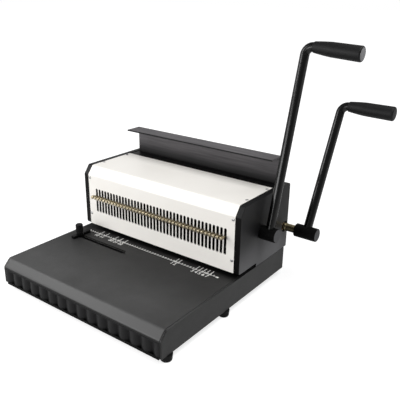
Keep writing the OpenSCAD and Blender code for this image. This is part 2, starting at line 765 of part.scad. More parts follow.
// Springs, as one tube wound along a helix

spring_sides = 6;
spring_rings = 8;

function helix_points(turns, z0, z1, wire) = [for (i = [0:turns * spring_rings])
  let (a = i * 360 / spring_rings, t = i / (turns * spring_rings), r = (spring_d - wire) / 2)
  [r * cos(a), r * sin(a), z0 + wire / 2 + (z1 - z0 - wire) * t]];

function least_gap(points, wire) = min([for (i = [0:len(points) - 1])
  for (j = [i + spring_rings / 2:1:len(points) - 1]) norm(points[i] - points[j])]) - wire;

module helix(turns, z0, z1, wire) {
  points = helix_points(turns, z0, z1, wire);
  n = spring_sides;
  last = len(points) - 1;
  verts = [for (p = points, k = [0:n - 1]) let (out = [p[0], p[1], 0] / norm([p[0], p[1]]), a = k * 360 / n)
    p + wire / 2 * (cos(a) * out + sin(a) * [0, 0, 1])];
  sides = [for (i = [0:last - 1], k = [0:n - 1]) let (a = i * n + k, b = i * n + (k + 1) % n)
    each [[a, b, a + n], [b, b + n, a + n]]];
  ends = [for (k = [1:n - 2]) each [[0, k + 1, k], [last * n, last * n + k, last * n + k + 1]]];
  polyhedron(verts, concat(sides, ends));
  echo(str("least gap of a spring to itself: ", least_gap(points, wire), " mm"));
}

module punch_springs() color(bright_steel) in_frame() both_sides()
  translate([punch_spring_x, spring_y, 0]) helix(punch_turns,
    guide_top - punch_seat_low + run_gap, beam_bot + punch_seat_high - run_gap, punch_wire);

module closing_springs() color(bright_steel) in_frame() both_sides()
  translate([closing_rack_x, closing_spring_y, 0]) helix(closing_turns,
    base_bot + base_sheet + run_gap, closing_rack_z0 - run_gap, closing_wire);

// Levers. The rod stands along +Z from the shaft's axis, bends over and runs out along +X.

bend_lap = 1.5;
bend_step = 0.06;

module at_lever(x, y, z, lean) translate([x, y, z]) rotate([-lean, 0, 0]) children();

module at_grip(l, droop) translate([bend_r * (1 + sin(droop)), 0, l - bend_r + bend_r * cos(droop)])
  rotate([0, 90 + droop, 0]) children();

module lever_hub(x0, l, shaft_d, shaft_in) difference() {
  translate([x0, 0, 0]) rotate([0, 90, 0]) rotate_extrude() polygon([
    [0, 0], [hub_d / 2 - 1, 0], [hub_d / 2, 1], [hub_d / 2, l - 1], [hub_d / 2 - 1, l], [0, l]]);
  rod_x(x0 - 1, shaft_in, 0, 0, shaft_d + 2 * run_gap);
  rod_z(0, 0, -lever_rod_d / 2 + 1 - run_gap, hub_d, lever_rod_d + 2 * run_gap);
}

module lever_rod(l, droop) {
  rod_z(0, 0, -lever_rod_d / 2 + 1, l - bend_r, lever_rod_d);
  translate([bend_r, 0, l - bend_r]) rotate([90, 0, 0]) rotate([0, 0, 90 - droop - bend_lap])
    rotate_extrude(angle = 90 + droop + 2 * bend_lap) translate([bend_r, 0])
      circle(d = lever_rod_d - bend_step);
  at_grip(l, droop) cylinder(h = grip_l - grip_wall_end, d = lever_rod_d);
}

// Tapered grip with soft shoulders, bored for the rod and recessed for its cap
module lever_grip(l, droop) at_grip(l, droop) difference() {
  soft = 3;
  rotate_extrude() polygon(concat(
    [[0, 0], [grip_neck_d / 2 - 1, 0], [grip_neck_d / 2, 1]],
    [for (i = [1:8]) let (t = i / 8, flare = grip_d - grip_belly - grip_neck_d)
      [(grip_neck_d + flare * t * (1.35 - 0.35 * t)) / 2, 1 + t * grip_l * grip_flare]],
    [for (a = [0:15:90]) [grip_d / 2 - soft + soft * cos(a), grip_l - soft + soft * sin(a)]],
    [[0, grip_l]]));
  translate([0, 0, -1]) cylinder(h = grip_l - grip_wall_end + 1, d = lever_rod_d + 2 * run_gap);
  translate([0, 0, grip_l - cap_t + 0.5]) cylinder(h = cap_t, d = cap_d + 2 * run_gap);
}

module lever_cap(l, droop) at_grip(l, droop) translate([0, 0, grip_l - cap_t + 0.5]) rotate_extrude() polygon([
  [0, 0], [cap_d / 2, 0], [cap_d / 2, cap_t - 0.8], [cap_d / 2 - 0.8, cap_t - 0.3], [0, cap_t]]);

module at_punch() at_lever(punch_rod_x, punch_shaft_y, punch_shaft_z, punch_lean) children();

module at_closing() at_lever(closing_rod_x, closing_shaft_y, closing_shaft_z, closing_lean) children();

module punch_hub() color(black_steel) in_frame() at_punch()
  lever_hub(-punch_hub_l / 2, punch_hub_l, punch_shaft_d, -lever_rod_d / 2 - 0.4);

module punch_rod() color(black_steel) in_frame() at_punch() lever_rod(punch_lever_l, punch_droop);

module punch_grip() color(black_rubber) in_frame() at_punch() lever_grip(punch_lever_l, punch_droop);

module punch_grip_cap() color(grey_cap) in_frame() at_punch() lever_cap(punch_lever_l, punch_droop);

module closing_hub() color(black_steel) in_frame() at_closing()
  lever_hub(-closing_hub_l / 2, closing_hub_l, closing_shaft_d, -lever_rod_d / 2 - 0.4);

module closing_rod() color(black_steel) in_frame() at_closing() lever_rod(closing_lever_l, closing_droop);

module closing_grip() color(black_rubber) in_frame() at_closing() lever_grip(closing_lever_l, closing_droop);

module closing_grip_cap() color(grey_cap) in_frame() at_closing() lever_cap(closing_lever_l, closing_droop);

// Wire closer

module rear_cover() color(black_sheet) in_frame() {
  hw = rim_in - part_gap;
  lip = [plate_y1 + 3, head_h];
  outer = [head_d, head_h];
  inner = [rear_wall_y, head_h - end_sheet];
  along_x(-hw, hw) polygon(concat(
    [[head_d, part_gap]], bend([head_d, 0], outer, lip, end_corner_r), [lip, [lip[0], inner[1]]],
    bend([lip[0], inner[1]], inner, [rear_wall_y, 0], end_corner_r - end_sheet), [[rear_wall_y, part_gap]]));
}

module closing_bed() color(black_steel) in_frame() difference() {
  block(-rim_in, rim_in, bed_y0, bed_y1, bed_bot, bed_top);
  both_sides() bolt_holes();
}

module closing_guides() color(bright_steel) in_frame() both_sides() difference() {
  block(plate_hw - 9, rim_in, plate_y0 - 4, plate_y1 + 4,
    closing_shaft_z + closing_bush_d / 2 + 3, bed_bot - 4);
  block(plate_hw - 10, plate_hw + part_gap, plate_y0 - part_gap, plate_y1 + part_gap, 0, bed_bot);
}

module closing_plate() color(black_sheet) in_frame() {
  bend = plate_t;
  block(-plate_hw, plate_hw, plate_y0, plate_y1, plate_bot, plate_top - bend);
  block(-plate_hw, plate_hw, cover_d - flange_over, plate_y1 - bend, plate_top - plate_t, plate_top);
  intersection() {
    block(-plate_hw, plate_hw, plate_y1 - bend, plate_y1, plate_top - bend, plate_top);
    rod_x(-plate_hw, plate_hw, plate_y1 - bend, plate_top - bend, 2 * bend);
  }
}

module closing_racks() color(bright_steel) in_frame() both_sides()
  along_x(closing_rack_x - rack_w / 2, closing_rack_x + rack_w / 2) {
    translate([closing_rack_y0, closing_rack_z0])
      square([closing_rack_y1 - tooth_ded - closing_rack_y0, plate_bot + bracket_h - closing_rack_z0]);
    translate([closing_rack_y0, plate_bot]) square([plate_y0 - closing_rack_y0, bracket_h]);
    rack_teeth(closing_rack_y1, closing_shaft_z, closing_rack_z0, closing_shaft_z + closing_stroke + 8);
  }

module closing_shaft() color(yellow_zinc) in_frame()
  rod_x(-wall_in + 0.5, closing_rod_x - lever_rod_d / 2 - 0.5,
    closing_shaft_y, closing_shaft_z, closing_shaft_d);

module closing_sectors() color(bright_steel) in_frame() both_sides() difference() {
  step = 360 / closing_teeth;
  used = ceil(closing_swing / step) - 1;
  translate([closing_rack_x, closing_shaft_y, closing_shaft_z]) along_x(-rack_w / 2, rack_w / 2) {
    polygon(concat([[0, 0]], [for (k = [used:-1:0]) each tooth_points(closing_teeth, 180 - k * step)]));
    circle(d = sector_hub_d);
  }
  rod_x(0, rim_in, closing_shaft_y, closing_shaft_z, closing_shaft_d + 2 * run_gap);
}

module closing_collar() color(yellow_zinc) in_frame() difference() {
  union() {
    rod_x(head_hw + 0.5, closing_hub_x0, closing_shaft_y, closing_shaft_z, closing_sleeve_d);
    rod_x(head_hw + 0.5, head_hw + 5, closing_shaft_y, closing_shaft_z, closing_sleeve_d + 1.5);
  }
  rod_x(head_hw, closing_hub_x0 + 1, closing_shaft_y, closing_shaft_z, closing_shaft_d + 2 * run_gap);
}

// Edge guide

stud_top = guide_h + knob_h - 6;
foot_plate_t = 3;

module guide_bar() color(black_steel) in_frame() difference() {
  y_mid = -guide_y + 4;
  union() {
    block(guide_x - guide_w / 2, guide_x + guide_w / 2,
      y_mid - guide_l / 2, y_mid + guide_l / 2, part_gap, guide_h);
    rod_z(guide_x, -guide_y, part_gap, guide_h, knob_d + 2);
  }
  rod_z(guide_x, -guide_y, -1, guide_h + 1, stud_d + 2 * run_gap);
}

module guide_stud() color(bright_steel) in_frame() {
  z0 = -base_sheet - part_gap;
  rod_z(guide_x, -guide_y, z0, stud_top, stud_d);
  block(guide_x - 7, guide_x + 7, -guide_y - 7, -guide_y + 7, z0 - foot_plate_t, z0);
}

module guide_knob() color(black_rubber) in_frame()
  translate([guide_x, -guide_y, guide_h + part_gap]) difference() {
  flutes = 12;
  rotate_extrude() polygon([
    [0, 0], [knob_d / 2 - 1, 0], [knob_d / 2 - 1, 3], [knob_d / 2, 3.5], [knob_d / 2, knob_h - 1.5],
    [knob_d / 2 - 1.5, knob_h], [0, knob_h]]);
  for (i = [0:flutes - 1]) rotate(i * 360 / flutes) rod_z(knob_d / 2 + 0.7, 0, 4, knob_h + 1, 2.4);
  rod_z(0, 0, -1, stud_top - guide_h, stud_d + 2 * run_gap);
}

base_top();
base_side_left();
base_side_right();
base_pan();
rubber_feet();
foot_screws();
drawer_rails();
drawer_tray();
drawer_front();
end_plate_left();
end_plate_right();
bearing_plate_left();
bearing_plate_right();
shaft_bushes();
front_cover();
cover_screws();
die_bar();
paper_stop();
punch_guide();
beam_guides();
frame_bolts();
press_beam();
punches();
punch_racks();
punch_springs();
pull_pins();
pull_pin_left_1();
pull_pin_left_2();
pull_pin_left_3();
pull_pin_right_1();
pull_pin_right_2();
pull_pin_right_3();
punch_shaft();
punch_pinions();
punch_hub();
punch_rod();
punch_grip();
punch_grip_cap();
rear_cover();
closing_bed();
closing_guides();
closing_plate();
closing_racks();
closing_springs();
closing_shaft();
closing_sectors();
closing_collar();
closing_hub();
closing_rod();
closing_grip();
closing_grip_cap();
guide_bar();
guide_stud();
guide_knob();
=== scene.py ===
# %% [markdown]
# A manual punch and wire-binding machine, dressed for a picture.
# Its solids come from the imported model, already in place and in metres. This lesson gives each of
# them the finish of the real piece, with some light and shade painted in, softens its edges, and adds
# what solids alone can't show: smooth springs, cross-head screws and the print on the table, and
# painted shade in a strip under the drawer front and along the edge guide's slot.

import math

import bmesh
import bpy
from mathutils import Matrix, Vector


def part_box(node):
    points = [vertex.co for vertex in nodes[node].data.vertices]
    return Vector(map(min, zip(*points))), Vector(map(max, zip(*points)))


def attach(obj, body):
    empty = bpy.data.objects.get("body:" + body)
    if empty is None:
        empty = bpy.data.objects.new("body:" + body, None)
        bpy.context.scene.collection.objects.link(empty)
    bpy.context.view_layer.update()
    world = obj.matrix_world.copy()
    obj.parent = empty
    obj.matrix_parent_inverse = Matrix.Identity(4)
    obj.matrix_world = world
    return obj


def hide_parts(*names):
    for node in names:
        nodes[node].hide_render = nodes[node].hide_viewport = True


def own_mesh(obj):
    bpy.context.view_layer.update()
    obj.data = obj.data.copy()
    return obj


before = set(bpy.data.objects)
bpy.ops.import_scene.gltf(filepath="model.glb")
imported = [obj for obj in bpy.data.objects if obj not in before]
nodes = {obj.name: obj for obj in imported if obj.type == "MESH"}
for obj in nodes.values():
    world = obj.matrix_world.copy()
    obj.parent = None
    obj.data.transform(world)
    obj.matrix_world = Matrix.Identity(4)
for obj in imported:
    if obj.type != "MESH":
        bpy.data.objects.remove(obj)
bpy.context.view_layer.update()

# %% [markdown]
# The machine was measured in millimetres from three places that the picture shows well: the middle
# of the punch row, the face of the white cover and the top of the paper table. The same three are
# read back from the model's boxes here, so a place can be written as it was measured.

# %% Machine coordinates
MM = 0.001
cover_low, cover_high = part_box("front_cover")
pins_low, pins_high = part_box("pull_pins")
row_middle = (pins_low.x + pins_high.x) / 2
table_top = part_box("base_top")[1].z


def at(x, y, z):
    """A point in metres, from millimetres right of the row, behind the cover's face and above the table."""
    return Vector((row_middle + x * MM, cover_low.y + y * MM, table_top + z * MM))


print("row middle, cover face, table top:", [round(v, 4) for v in at(0, 0, 0)])

# %% [markdown]
# The camera stands to the right, in front and above, as the photographer did. It could be placed by
# eye, but its place, lens and slight tilt were worked out from the slots of the cover and the edges of
# the head and the base, so the picture lines up everywhere at once.

# %% Camera
scene = bpy.context.scene
camera_place = at(660.8, -751.2, 494.0)
camera_target = at(108.0, -0.4, 132.5)
camera_tilt = math.radians(0.84)

forward = (camera_target - camera_place).normalized()
level_right = forward.cross(Vector((0, 0, 1))).normalized()
level_up = level_right.cross(forward)
right = level_right * math.cos(camera_tilt) + level_up * math.sin(camera_tilt)
up = right.cross(forward)
turn = Matrix((right, up, -forward)).transposed()

camera_data = bpy.data.cameras.new("camera")
camera_data.sensor_width = 36
camera_data.lens = 49.446
camera_data.clip_end = 100
camera = bpy.data.objects.new("camera", camera_data)
camera.matrix_world = Matrix.Translation(camera_place) @ turn.to_4x4()
scene.collection.objects.link(camera)
scene.camera = camera
print("camera", [round(v, 3) for v in camera_place], "lens", camera_data.lens)

# %% [markdown]
# A few helpers serve every finish. Colours are written as sRGB hex, the way a paint chart gives them,
# and one function turns them to the linear values that a renderer works with. Another works out a
# pattern's scale from its real size. One adds a node with its settings and links, and the last sets
# the shader's own sockets and keeps the finish under a short key.

# %% Helpers for the finishes


def srgb(code):
    """Linear colour of an sRGB hex code."""
    parts = [int(code[i : i + 2], 16) / 255 for i in (1, 3, 5)]
    return tuple(p / 12.92 if p <= 0.04045 else ((p + 0.055) / 1.055) ** 2.4 for p in parts) + (1.0,)


def per_metre(size_mm):
    """Scale of a pattern whose marks are that many millimetres across."""
    return 1000.0 / size_mm


def plug(tree, node, inputs):
    """Sets a node's inputs. Each is a value, an output to link, or a node whose first output is linked."""
    for name, value in inputs.items():
        if isinstance(value, bpy.types.Node):
            value = next(output for output in value.outputs if output.enabled)
        if isinstance(value, bpy.types.NodeSocket):
            tree.links.new(value, node.inputs[name])
        else:
            node.inputs[name].default_value = value


def add_node(tree, kind, inputs=None, **settings):
    """Adds a node with its inputs, and with its settings as named attributes."""
    node = tree.nodes.new(kind)
    for name, value in settings.items():
        setattr(node, name, value)
    plug(tree, node, inputs or {})
    return node


def new_finish(name):
    """A material with its node tree, its shader, and coordinates that stay with the piece."""
    finish = bpy.data.materials.new(name)
    finish.use_nodes = True
    tree = finish.node_tree
    shader = tree.nodes["Principled BSDF"]
    place = add_node(tree, "ShaderNodeTexCoord").outputs["Object"]
    return finish, tree, shader, place


def keep_finish(key, finish, shader, inputs):
    """Sets the shader's own sockets and keeps the finish under a key."""
    plug(finish.node_tree, shader, inputs)
    finishes[key] = finish
    print("made", finish.name)


finishes = {}
print("helpers ready")

# %% [markdown]
# The base is folded sheet steel with a sand-textured black powder coat. Powder melts into a skin of
# fine grains, so the eye gets a soft grey sheen rather than a mirror. A bump of fine noise makes the
# grains, and a broad, faint noise makes the slightly uneven film.
# Light and shade are painted into the colour in several places. The table is painted darker towards
# the throat by a ramp over the distance from the cover, as painted shade of the head, and the right
# is painted a little darker than the left, as painted shade. Hands rub the sloping front edge smoother,
# and it is painted lighter as a painted highlight: those are the faces that look up and forward at 45
# degrees. The faces that look straight forward are painted dark as painted shade, and so is the
# sloping edge of the right side panel, as painted shadow in its gap beside the table's front edge.
# Real grains are about 0.4 mm; they are drawn three times coarser so that they show at all.

# %% Sand-textured powder coat
finish, tree, shader, place = new_finish("sand_powder_coat")
grain = add_node(tree, "ShaderNodeTexNoise", {"Vector": place, "Scale": per_metre(1.2), "Detail": 3.0})
film = add_node(tree, "ShaderNodeTexNoise",
                {"Vector": place, "Scale": per_metre(70), "Detail": 6.0, "Roughness": 0.68})
tone = add_node(tree, "ShaderNodeMix",
                {0: film, 6: srgb("#353535"), 7: srgb("#505050")}, data_type="RGBA")
spot = add_node(tree, "ShaderNodeSeparateXYZ", {"Vector": place})
# Painted shade: the base is painted a little darker to the right than to the left.
half_row = 170 * MM
painted_shade_to_right = add_node(tree, "ShaderNodeMapRange",
                    {"Value": spot.outputs["X"], "From Min": row_middle - half_row,
                     "From Max": row_middle + half_row, "To Min": 1.08, "To Max": 0.8})
handled_and_painted_shade = add_node(tree, "ShaderNodeMix",
                   {0: 1.0, 6: tone, 7: painted_shade_to_right}, data_type="RGBA", blend_type="MULTIPLY")
# Painted shade: the table is painted darker towards the cover, standing in for the head's shade.
throat_shade_depth = 160 * MM
way_out = add_node(tree, "ShaderNodeMapRange",
                   {"Value": spot.outputs["Y"], "From Min": cover_low.y,
                    "From Max": cover_low.y - throat_shade_depth})
throat_painted_shade = add_node(tree, "ShaderNodeValToRGB", {"Fac": way_out})
throat_painted_shade.color_ramp.elements[0].color = srgb("#050505")
throat_painted_shade.color_ramp.elements[1].color = srgb("#ffffff")
for share, code in ((0.06, "#606060"), (0.15, "#a2a2a2"), (0.4, "#acacac")):
    throat_painted_shade.color_ramp.elements.new(share).color = srgb(code)
facing = add_node(tree, "ShaderNodeNewGeometry").outputs["True Normal"]
upward = add_node(tree, "ShaderNodeVectorMath", {0: facing, 1: (0, 0, 1)}, operation="DOT_PRODUCT")
on_table = add_node(tree, "ShaderNodeMapRange", {"Value": upward, "From Min": 0.8, "From Max": 0.95})
table_tone = add_node(tree, "ShaderNodeMix",
                      {0: on_table, 6: handled_and_painted_shade, 7: throat_painted_shade}, data_type="RGBA", blend_type="MULTIPLY")
# Painted highlight: the sloping front edge is painted lighter; it is also made smoother.
sloping = add_node(tree, "ShaderNodeVectorMath",
                   {0: facing, 1: (0, -0.7071, 0.7071)}, operation="DOT_PRODUCT")
rubbed_with_painted_highlight = add_node(tree, "ShaderNodeMapRange", {"Value": sloping, "From Min": 0.8, "From Max": 0.96})
# Painted shadow: the right side panel's sloping front edge is painted black, as the shadow in its gap.
cheek_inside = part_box("base_side_right")[0].x
cheek_blend = 0.3 * MM
cheek = add_node(tree, "ShaderNodeMapRange",
                 {"Value": spot.outputs["X"], "From Min": cheek_inside - cheek_blend,
                  "From Max": cheek_inside})
cheek_painted_shadow = add_node(tree, "ShaderNodeMath", {0: rubbed_with_painted_highlight, 1: cheek}, operation="MULTIPLY")
nose_painted_highlight = add_node(tree, "ShaderNodeMix", {0: rubbed_with_painted_highlight, 6: table_tone, 7: srgb("#484848")}, data_type="RGBA")
# Painted shade: the faces that look straight forward are painted near-black.
edge_on = add_node(tree, "ShaderNodeVectorMath", {0: facing, 1: (0, -1, 0)}, operation="DOT_PRODUCT")
front_painted_shade = add_node(tree, "ShaderNodeMapRange", {"Value": edge_on, "From Min": 0.9, "From Max": 0.98})
painted_shade_mask = add_node(tree, "ShaderNodeMath", {0: front_painted_shade, 1: cheek_painted_shadow}, operation="MAXIMUM")
with_painted_shade = add_node(tree, "ShaderNodeMix", {0: painted_shade_mask, 6: nose_painted_highlight, 7: srgb("#0a0a0a")}, data_type="RGBA")
sheen = add_node(tree, "ShaderNodeMapRange", {"Value": grain, "To Min": 0.5, "To Max": 0.66})
smooth = add_node(tree, "ShaderNodeMix", {0: rubbed_with_painted_highlight, 2: sheen, 3: 0.4}, data_type="FLOAT")
bump = add_node(tree, "ShaderNodeBump", {"Height": grain, "Strength": 0.6, "Distance": 0.15 * MM})
keep_finish("powder", finish, shader,
            {"Base Color": with_painted_shade, "Roughness": smooth, "Normal": bump, "IOR": 1.5,
             "Specular IOR Level": 0.25})

# %% [markdown]
# The end plates and the rear cover are sprayed and stoved black: smoother than the base, with the
# faint waviness of paint that has flowed, known as orange peel. It is a bump of soft noise a few
# millimetres across. The outer faces are painted grey at the table, fading to black half-way up, as a
# painted reflection of the pale floor. The cut edges that look forward are painted black as painted
# shade, and are a little duller.

# %% Stoved black paint on sheet
finish, tree, shader, place = new_finish("stoved_black_sheet")
peel = add_node(tree, "ShaderNodeTexNoise", {"Vector": place, "Scale": per_metre(2.5), "Detail": 1.0})
film = add_node(tree, "ShaderNodeTexNoise", {"Vector": place, "Scale": per_metre(45), "Detail": 3.0})
tone = add_node(tree, "ShaderNodeMix",
                {0: film, 6: srgb("#101011"), 7: srgb("#171718")}, data_type="RGBA")
spot = add_node(tree, "ShaderNodeSeparateXYZ", {"Vector": place})
# Painted reflection: the outer faces are painted grey near the table, as the pale floor's reflection.
painted_reflection_top = table_top + 75 * MM
painted_reflection_foot = table_top + 5 * MM
low_down = add_node(tree, "ShaderNodeMapRange",
                    {"Value": spot.outputs["Z"], "From Min": painted_reflection_top, "From Max": painted_reflection_foot},
                    interpolation_type="SMOOTHSTEP")
side = add_node(tree, "ShaderNodeSeparateXYZ",
                {"Vector": add_node(tree, "ShaderNodeNewGeometry").outputs["True Normal"]})
sideways = add_node(tree, "ShaderNodeMath", {0: side.outputs["X"]}, operation="ABSOLUTE")
outer = add_node(tree, "ShaderNodeMapRange", {"Value": sideways, "From Min": 0.5, "From Max": 0.9})
dust_and_painted_reflection = add_node(tree, "ShaderNodeMath", {0: low_down, 1: outer}, operation="MULTIPLY")
painted_floor_reflection = add_node(tree, "ShaderNodeMix", {0: dust_and_painted_reflection, 6: tone, 7: srgb("#646466")}, data_type="RGBA")
# Painted shade: the faces that look straight forward are painted near-black.
edge_on = add_node(tree, "ShaderNodeMapRange",
                   {"Value": side.outputs["Y"], "From Min": -0.85, "From Max": -0.97})
with_front_painted_shade = add_node(tree, "ShaderNodeMix", {0: edge_on, 6: painted_floor_reflection, 7: srgb("#020202")}, data_type="RGBA")
sheen = add_node(tree, "ShaderNodeMapRange", {"Value": film, "To Min": 0.44, "To Max": 0.54})
bump = add_node(tree, "ShaderNodeBump", {"Height": peel, "Strength": 0.25, "Distance": 0.1 * MM})
gloss = add_node(tree, "ShaderNodeMapRange", {"Value": edge_on, "To Min": 0.2, "To Max": 0.12})
keep_finish("sheet", finish, shader,
            {"Base Color": with_front_painted_shade, "Specular IOR Level": gloss, "Roughness": sheen, "Normal": bump,
             "IOR": 1.5})

# %% [markdown]
# The closing plate is phosphated steel: an acid bath grows fine grey-black crystals that hold oil.
# Wire combs rub along it, so it shines in long streaks from side to side. Its foot is painted black
# as painted shade, fading out towards the top. The streaks are noise that is drawn out along the
# plate. A thin black line along the flange's front edge is painted shade too.

# %% Phosphated steel
finish, tree, shader, place = new_finish("phosphated_steel")
plate_low, plate_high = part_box("closing_plate")
drawn = add_node(tree, "ShaderNodeMapping", {"Vector": place, "Scale": (0.05, 1.0, 1.0)})
streaks = add_node(tree, "ShaderNodeTexNoise", {"Vector": drawn, "Scale": per_metre(5), "Detail": 3.0})
tone = add_node(tree, "ShaderNodeMix",
                {0: streaks, 6: srgb("#323134"), 7: srgb("#6c696b")}, data_type="RGBA")
spot = add_node(tree, "ShaderNodeSeparateXYZ", {"Vector": place})
# Painted shade: the plate is painted black at its foot, fading out towards the top.
shade_full_line = plate_high.z - 60 * MM
shade_clear_line = plate_high.z - 20 * MM
height = add_node(tree, "ShaderNodeMapRange",
                  {"Value": spot.outputs["Z"], "From Min": shade_full_line, "From Max": shade_clear_line},
                  interpolation_type="SMOOTHSTEP")
foot_painted_shade = add_node(tree, "ShaderNodeMix", {0: height, 6: srgb("#030303"), 7: tone}, data_type="RGBA")
# Painted shade: a thin black line is painted along the flange's front edge.
edge_from = plate_low.y + 1.6 * MM
edge_to = plate_low.y + 0.8 * MM
at_edge = add_node(tree, "ShaderNodeMapRange",
                   {"Value": spot.outputs["Y"], "From Min": edge_from, "From Max": edge_to})
painted_edge_shade = add_node(tree, "ShaderNodeMix", {0: at_edge, 6: foot_painted_shade, 7: srgb("#101011")}, data_type="RGBA")
sheen = add_node(tree, "ShaderNodeMapRange", {"Value": streaks, "To Min": 0.62, "To Max": 0.42})
keep_finish("phosphate", finish, shader,
            {"Base Color": painted_edge_shade, "Roughness": sheen, "IOR": 1.5, "Specular IOR Level": 0.2})

# %% [markdown]
# The cover is sheet steel in white enamel, sprayed and baked. Enamel is a hard, closed film: a clean
# warm white with a soft gloss. The orange peel is finer here, and a broad noise keeps the white from
# being one flat number, as a wiped panel never is. The selector slots are punched through the sheet,
# and their walls, the faces that look sideways, are painted near-black as painted shade. A narrow rim
# round each slot, set a little to the right, is painted black as painted shade too. The rim is found by
# the distance from the nearest slot's middle line, which repeats every third of an inch along the row.
# These painted places lose most of their gloss.

# %% White enamel
finish, tree, shader, place = new_finish("white_enamel")
peel = add_node(tree, "ShaderNodeTexNoise", {"Vector": place, "Scale": per_metre(2.0), "Detail": 1.0})
wiped = add_node(tree, "ShaderNodeTexNoise", {"Vector": place, "Scale": per_metre(60), "Detail": 4.0})
tone = add_node(tree, "ShaderNodeMix",
                {0: wiped, 6: srgb("#ece9e3"), 7: srgb("#f3f0eb")}, data_type="RGBA")
sheen = add_node(tree, "ShaderNodeMapRange", {"Value": wiped, "To Min": 0.34, "To Max": 0.46})
bump = add_node(tree, "ShaderNodeBump", {"Height": peel, "Strength": 0.12, "Distance": 0.1 * MM})
# Painted shade: the slot walls, which look sideways, are painted near-black.
side = add_node(tree, "ShaderNodeSeparateXYZ",
                {"Vector": add_node(tree, "ShaderNodeNewGeometry").outputs["True Normal"]})
sideways = add_node(tree, "ShaderNodeMath", {0: side.outputs["X"]}, operation="ABSOLUTE")
painted_edge_shade = add_node(tree, "ShaderNodeMapRange", {"Value": sideways, "From Min": 0.75, "From Max": 0.85})
# Painted shade: a black rim is painted round each slot on the face, set a little to the right.
slot_count = 40
slot_pitch = 25.4 / 3 * MM
slot_mid = table_top + 65.75 * MM
slot_half = 23.25 * MM
rim_shift = 0.25 * MM
rim_reach = 2.9 * MM
rim_blend = 0.15 * MM
spot = add_node(tree, "ShaderNodeSeparateXYZ", {"Vector": place})
across = add_node(tree, "ShaderNodeMath",
                  {0: spot.outputs["X"], 1: row_middle + rim_shift}, operation="SUBTRACT")
in_row = add_node(tree, "ShaderNodeMath",
                  {0: across, 1: 0.0, 2: slot_count / 2 * slot_pitch}, operation="COMPARE")
steps = add_node(tree, "ShaderNodeMath", {0: across, 1: slot_pitch / 2}, operation="PINGPONG")
aside = add_node(tree, "ShaderNodeMath", {0: slot_pitch / 2, 1: steps}, operation="SUBTRACT")
above = add_node(tree, "ShaderNodeMath", {0: spot.outputs["Z"], 1: slot_mid}, operation="SUBTRACT")
far_up = add_node(tree, "ShaderNodeMath", {0: above}, operation="ABSOLUTE")
past = add_node(tree, "ShaderNodeMath", {0: far_up, 1: slot_half}, operation="SUBTRACT")
past_end = add_node(tree, "ShaderNodeMath", {0: past, 1: 0.0}, operation="MAXIMUM")
flat = add_node(tree, "ShaderNodeCombineXYZ", {"X": aside, "Y": past_end})
reach = add_node(tree, "ShaderNodeVectorMath", {0: flat}, operation="LENGTH")
painted_shade_rim = add_node(tree, "ShaderNodeMapRange",
               {"Value": reach, "From Min": rim_reach + rim_blend, "From Max": rim_reach - rim_blend})
forward_face = add_node(tree, "ShaderNodeMapRange",
                        {"Value": side.outputs["Y"], "From Min": -0.9, "From Max": -0.97})
rim_in_row = add_node(tree, "ShaderNodeMath", {0: painted_shade_rim, 1: in_row}, operation="MULTIPLY")
rim_in_front = add_node(tree, "ShaderNodeMath", {0: rim_in_row, 1: forward_face}, operation="MULTIPLY")
painted_slot_shade = add_node(tree, "ShaderNodeMath", {0: painted_edge_shade, 1: rim_in_front}, operation="MAXIMUM")
panel = add_node(tree, "ShaderNodeMix", {0: painted_slot_shade, 6: tone, 7: srgb("#0b0b0b")}, data_type="RGBA")
gloss = add_node(tree, "ShaderNodeMapRange", {"Value": painted_slot_shade, "To Min": 0.5, "To Max": 0.05})
keep_finish("enamel", finish, shader,
            {"Base Color": panel, "Specular IOR Level": gloss, "Roughness": sheen, "Normal": bump,
             "IOR": 1.5})

# %% [markdown]
# The drawer front, its tray and the clamp knob are moulded in black ABS. The mould is spark-eroded,
# which leaves an even, fine grain of pits about 0.5 mm apart, drawn at 1 mm to show. Cells of a
# Voronoi pattern look more like such pits than noise does.

# %% Moulded ABS
finish, tree, shader, place = new_finish("moulded_black_abs")
pits = add_node(tree, "ShaderNodeTexVoronoi", {"Vector": place, "Scale": per_metre(1.0)})
flow = add_node(tree, "ShaderNodeTexNoise", {"Vector": place, "Scale": per_metre(25), "Detail": 3.0})
tone = add_node(tree, "ShaderNodeMix",
                {0: flow, 6: srgb("#0a0a0b"), 7: srgb("#111112")}, data_type="RGBA")
sheen = add_node(tree, "ShaderNodeMapRange", {"Value": flow, "To Min": 0.42, "To Max": 0.56})
bump = add_node(tree, "ShaderNodeBump", {"Height": pits, "Strength": 0.2, "Distance": 0.15 * MM})
keep_finish("abs", finish, shader,
            {"Base Color": tone, "Roughness": sheen, "Normal": bump, "IOR": 1.53,
             "Specular IOR Level": 0.16})

# %% [markdown]
# The lever rods are drawn steel bar with a thin gloss black stove enamel. On a round bar this gives a
# dark core with a narrow light line along each side. The film follows the drawn bar below it, so faint
# streaks run along the rod: noise that is stretched along the height.

# %% Gloss black enamel on bar
finish, tree, shader, place = new_finish("gloss_black_enamel")
drawn = add_node(tree, "ShaderNodeMapping", {"Vector": place, "Scale": (1.0, 1.0, 0.04)})
streaks = add_node(tree, "ShaderNodeTexNoise",
                   {"Vector": drawn, "Scale": per_metre(2.0), "Detail": 2.0})
tone = add_node(tree, "ShaderNodeMix",
                {0: streaks, 6: srgb("#030303"), 7: srgb("#080808")}, data_type="RGBA")
sheen = add_node(tree, "ShaderNodeMapRange", {"Value": streaks, "To Min": 0.2, "To Max": 0.29})
bump = add_node(tree, "ShaderNodeBump", {"Height": streaks, "Strength": 0.12, "Distance": 0.1 * MM})
keep_finish("rod", finish, shader,
            {"Base Color": tone, "Roughness": sheen, "Normal": bump, "IOR": 1.45,
             "Specular IOR Level": 0.42})

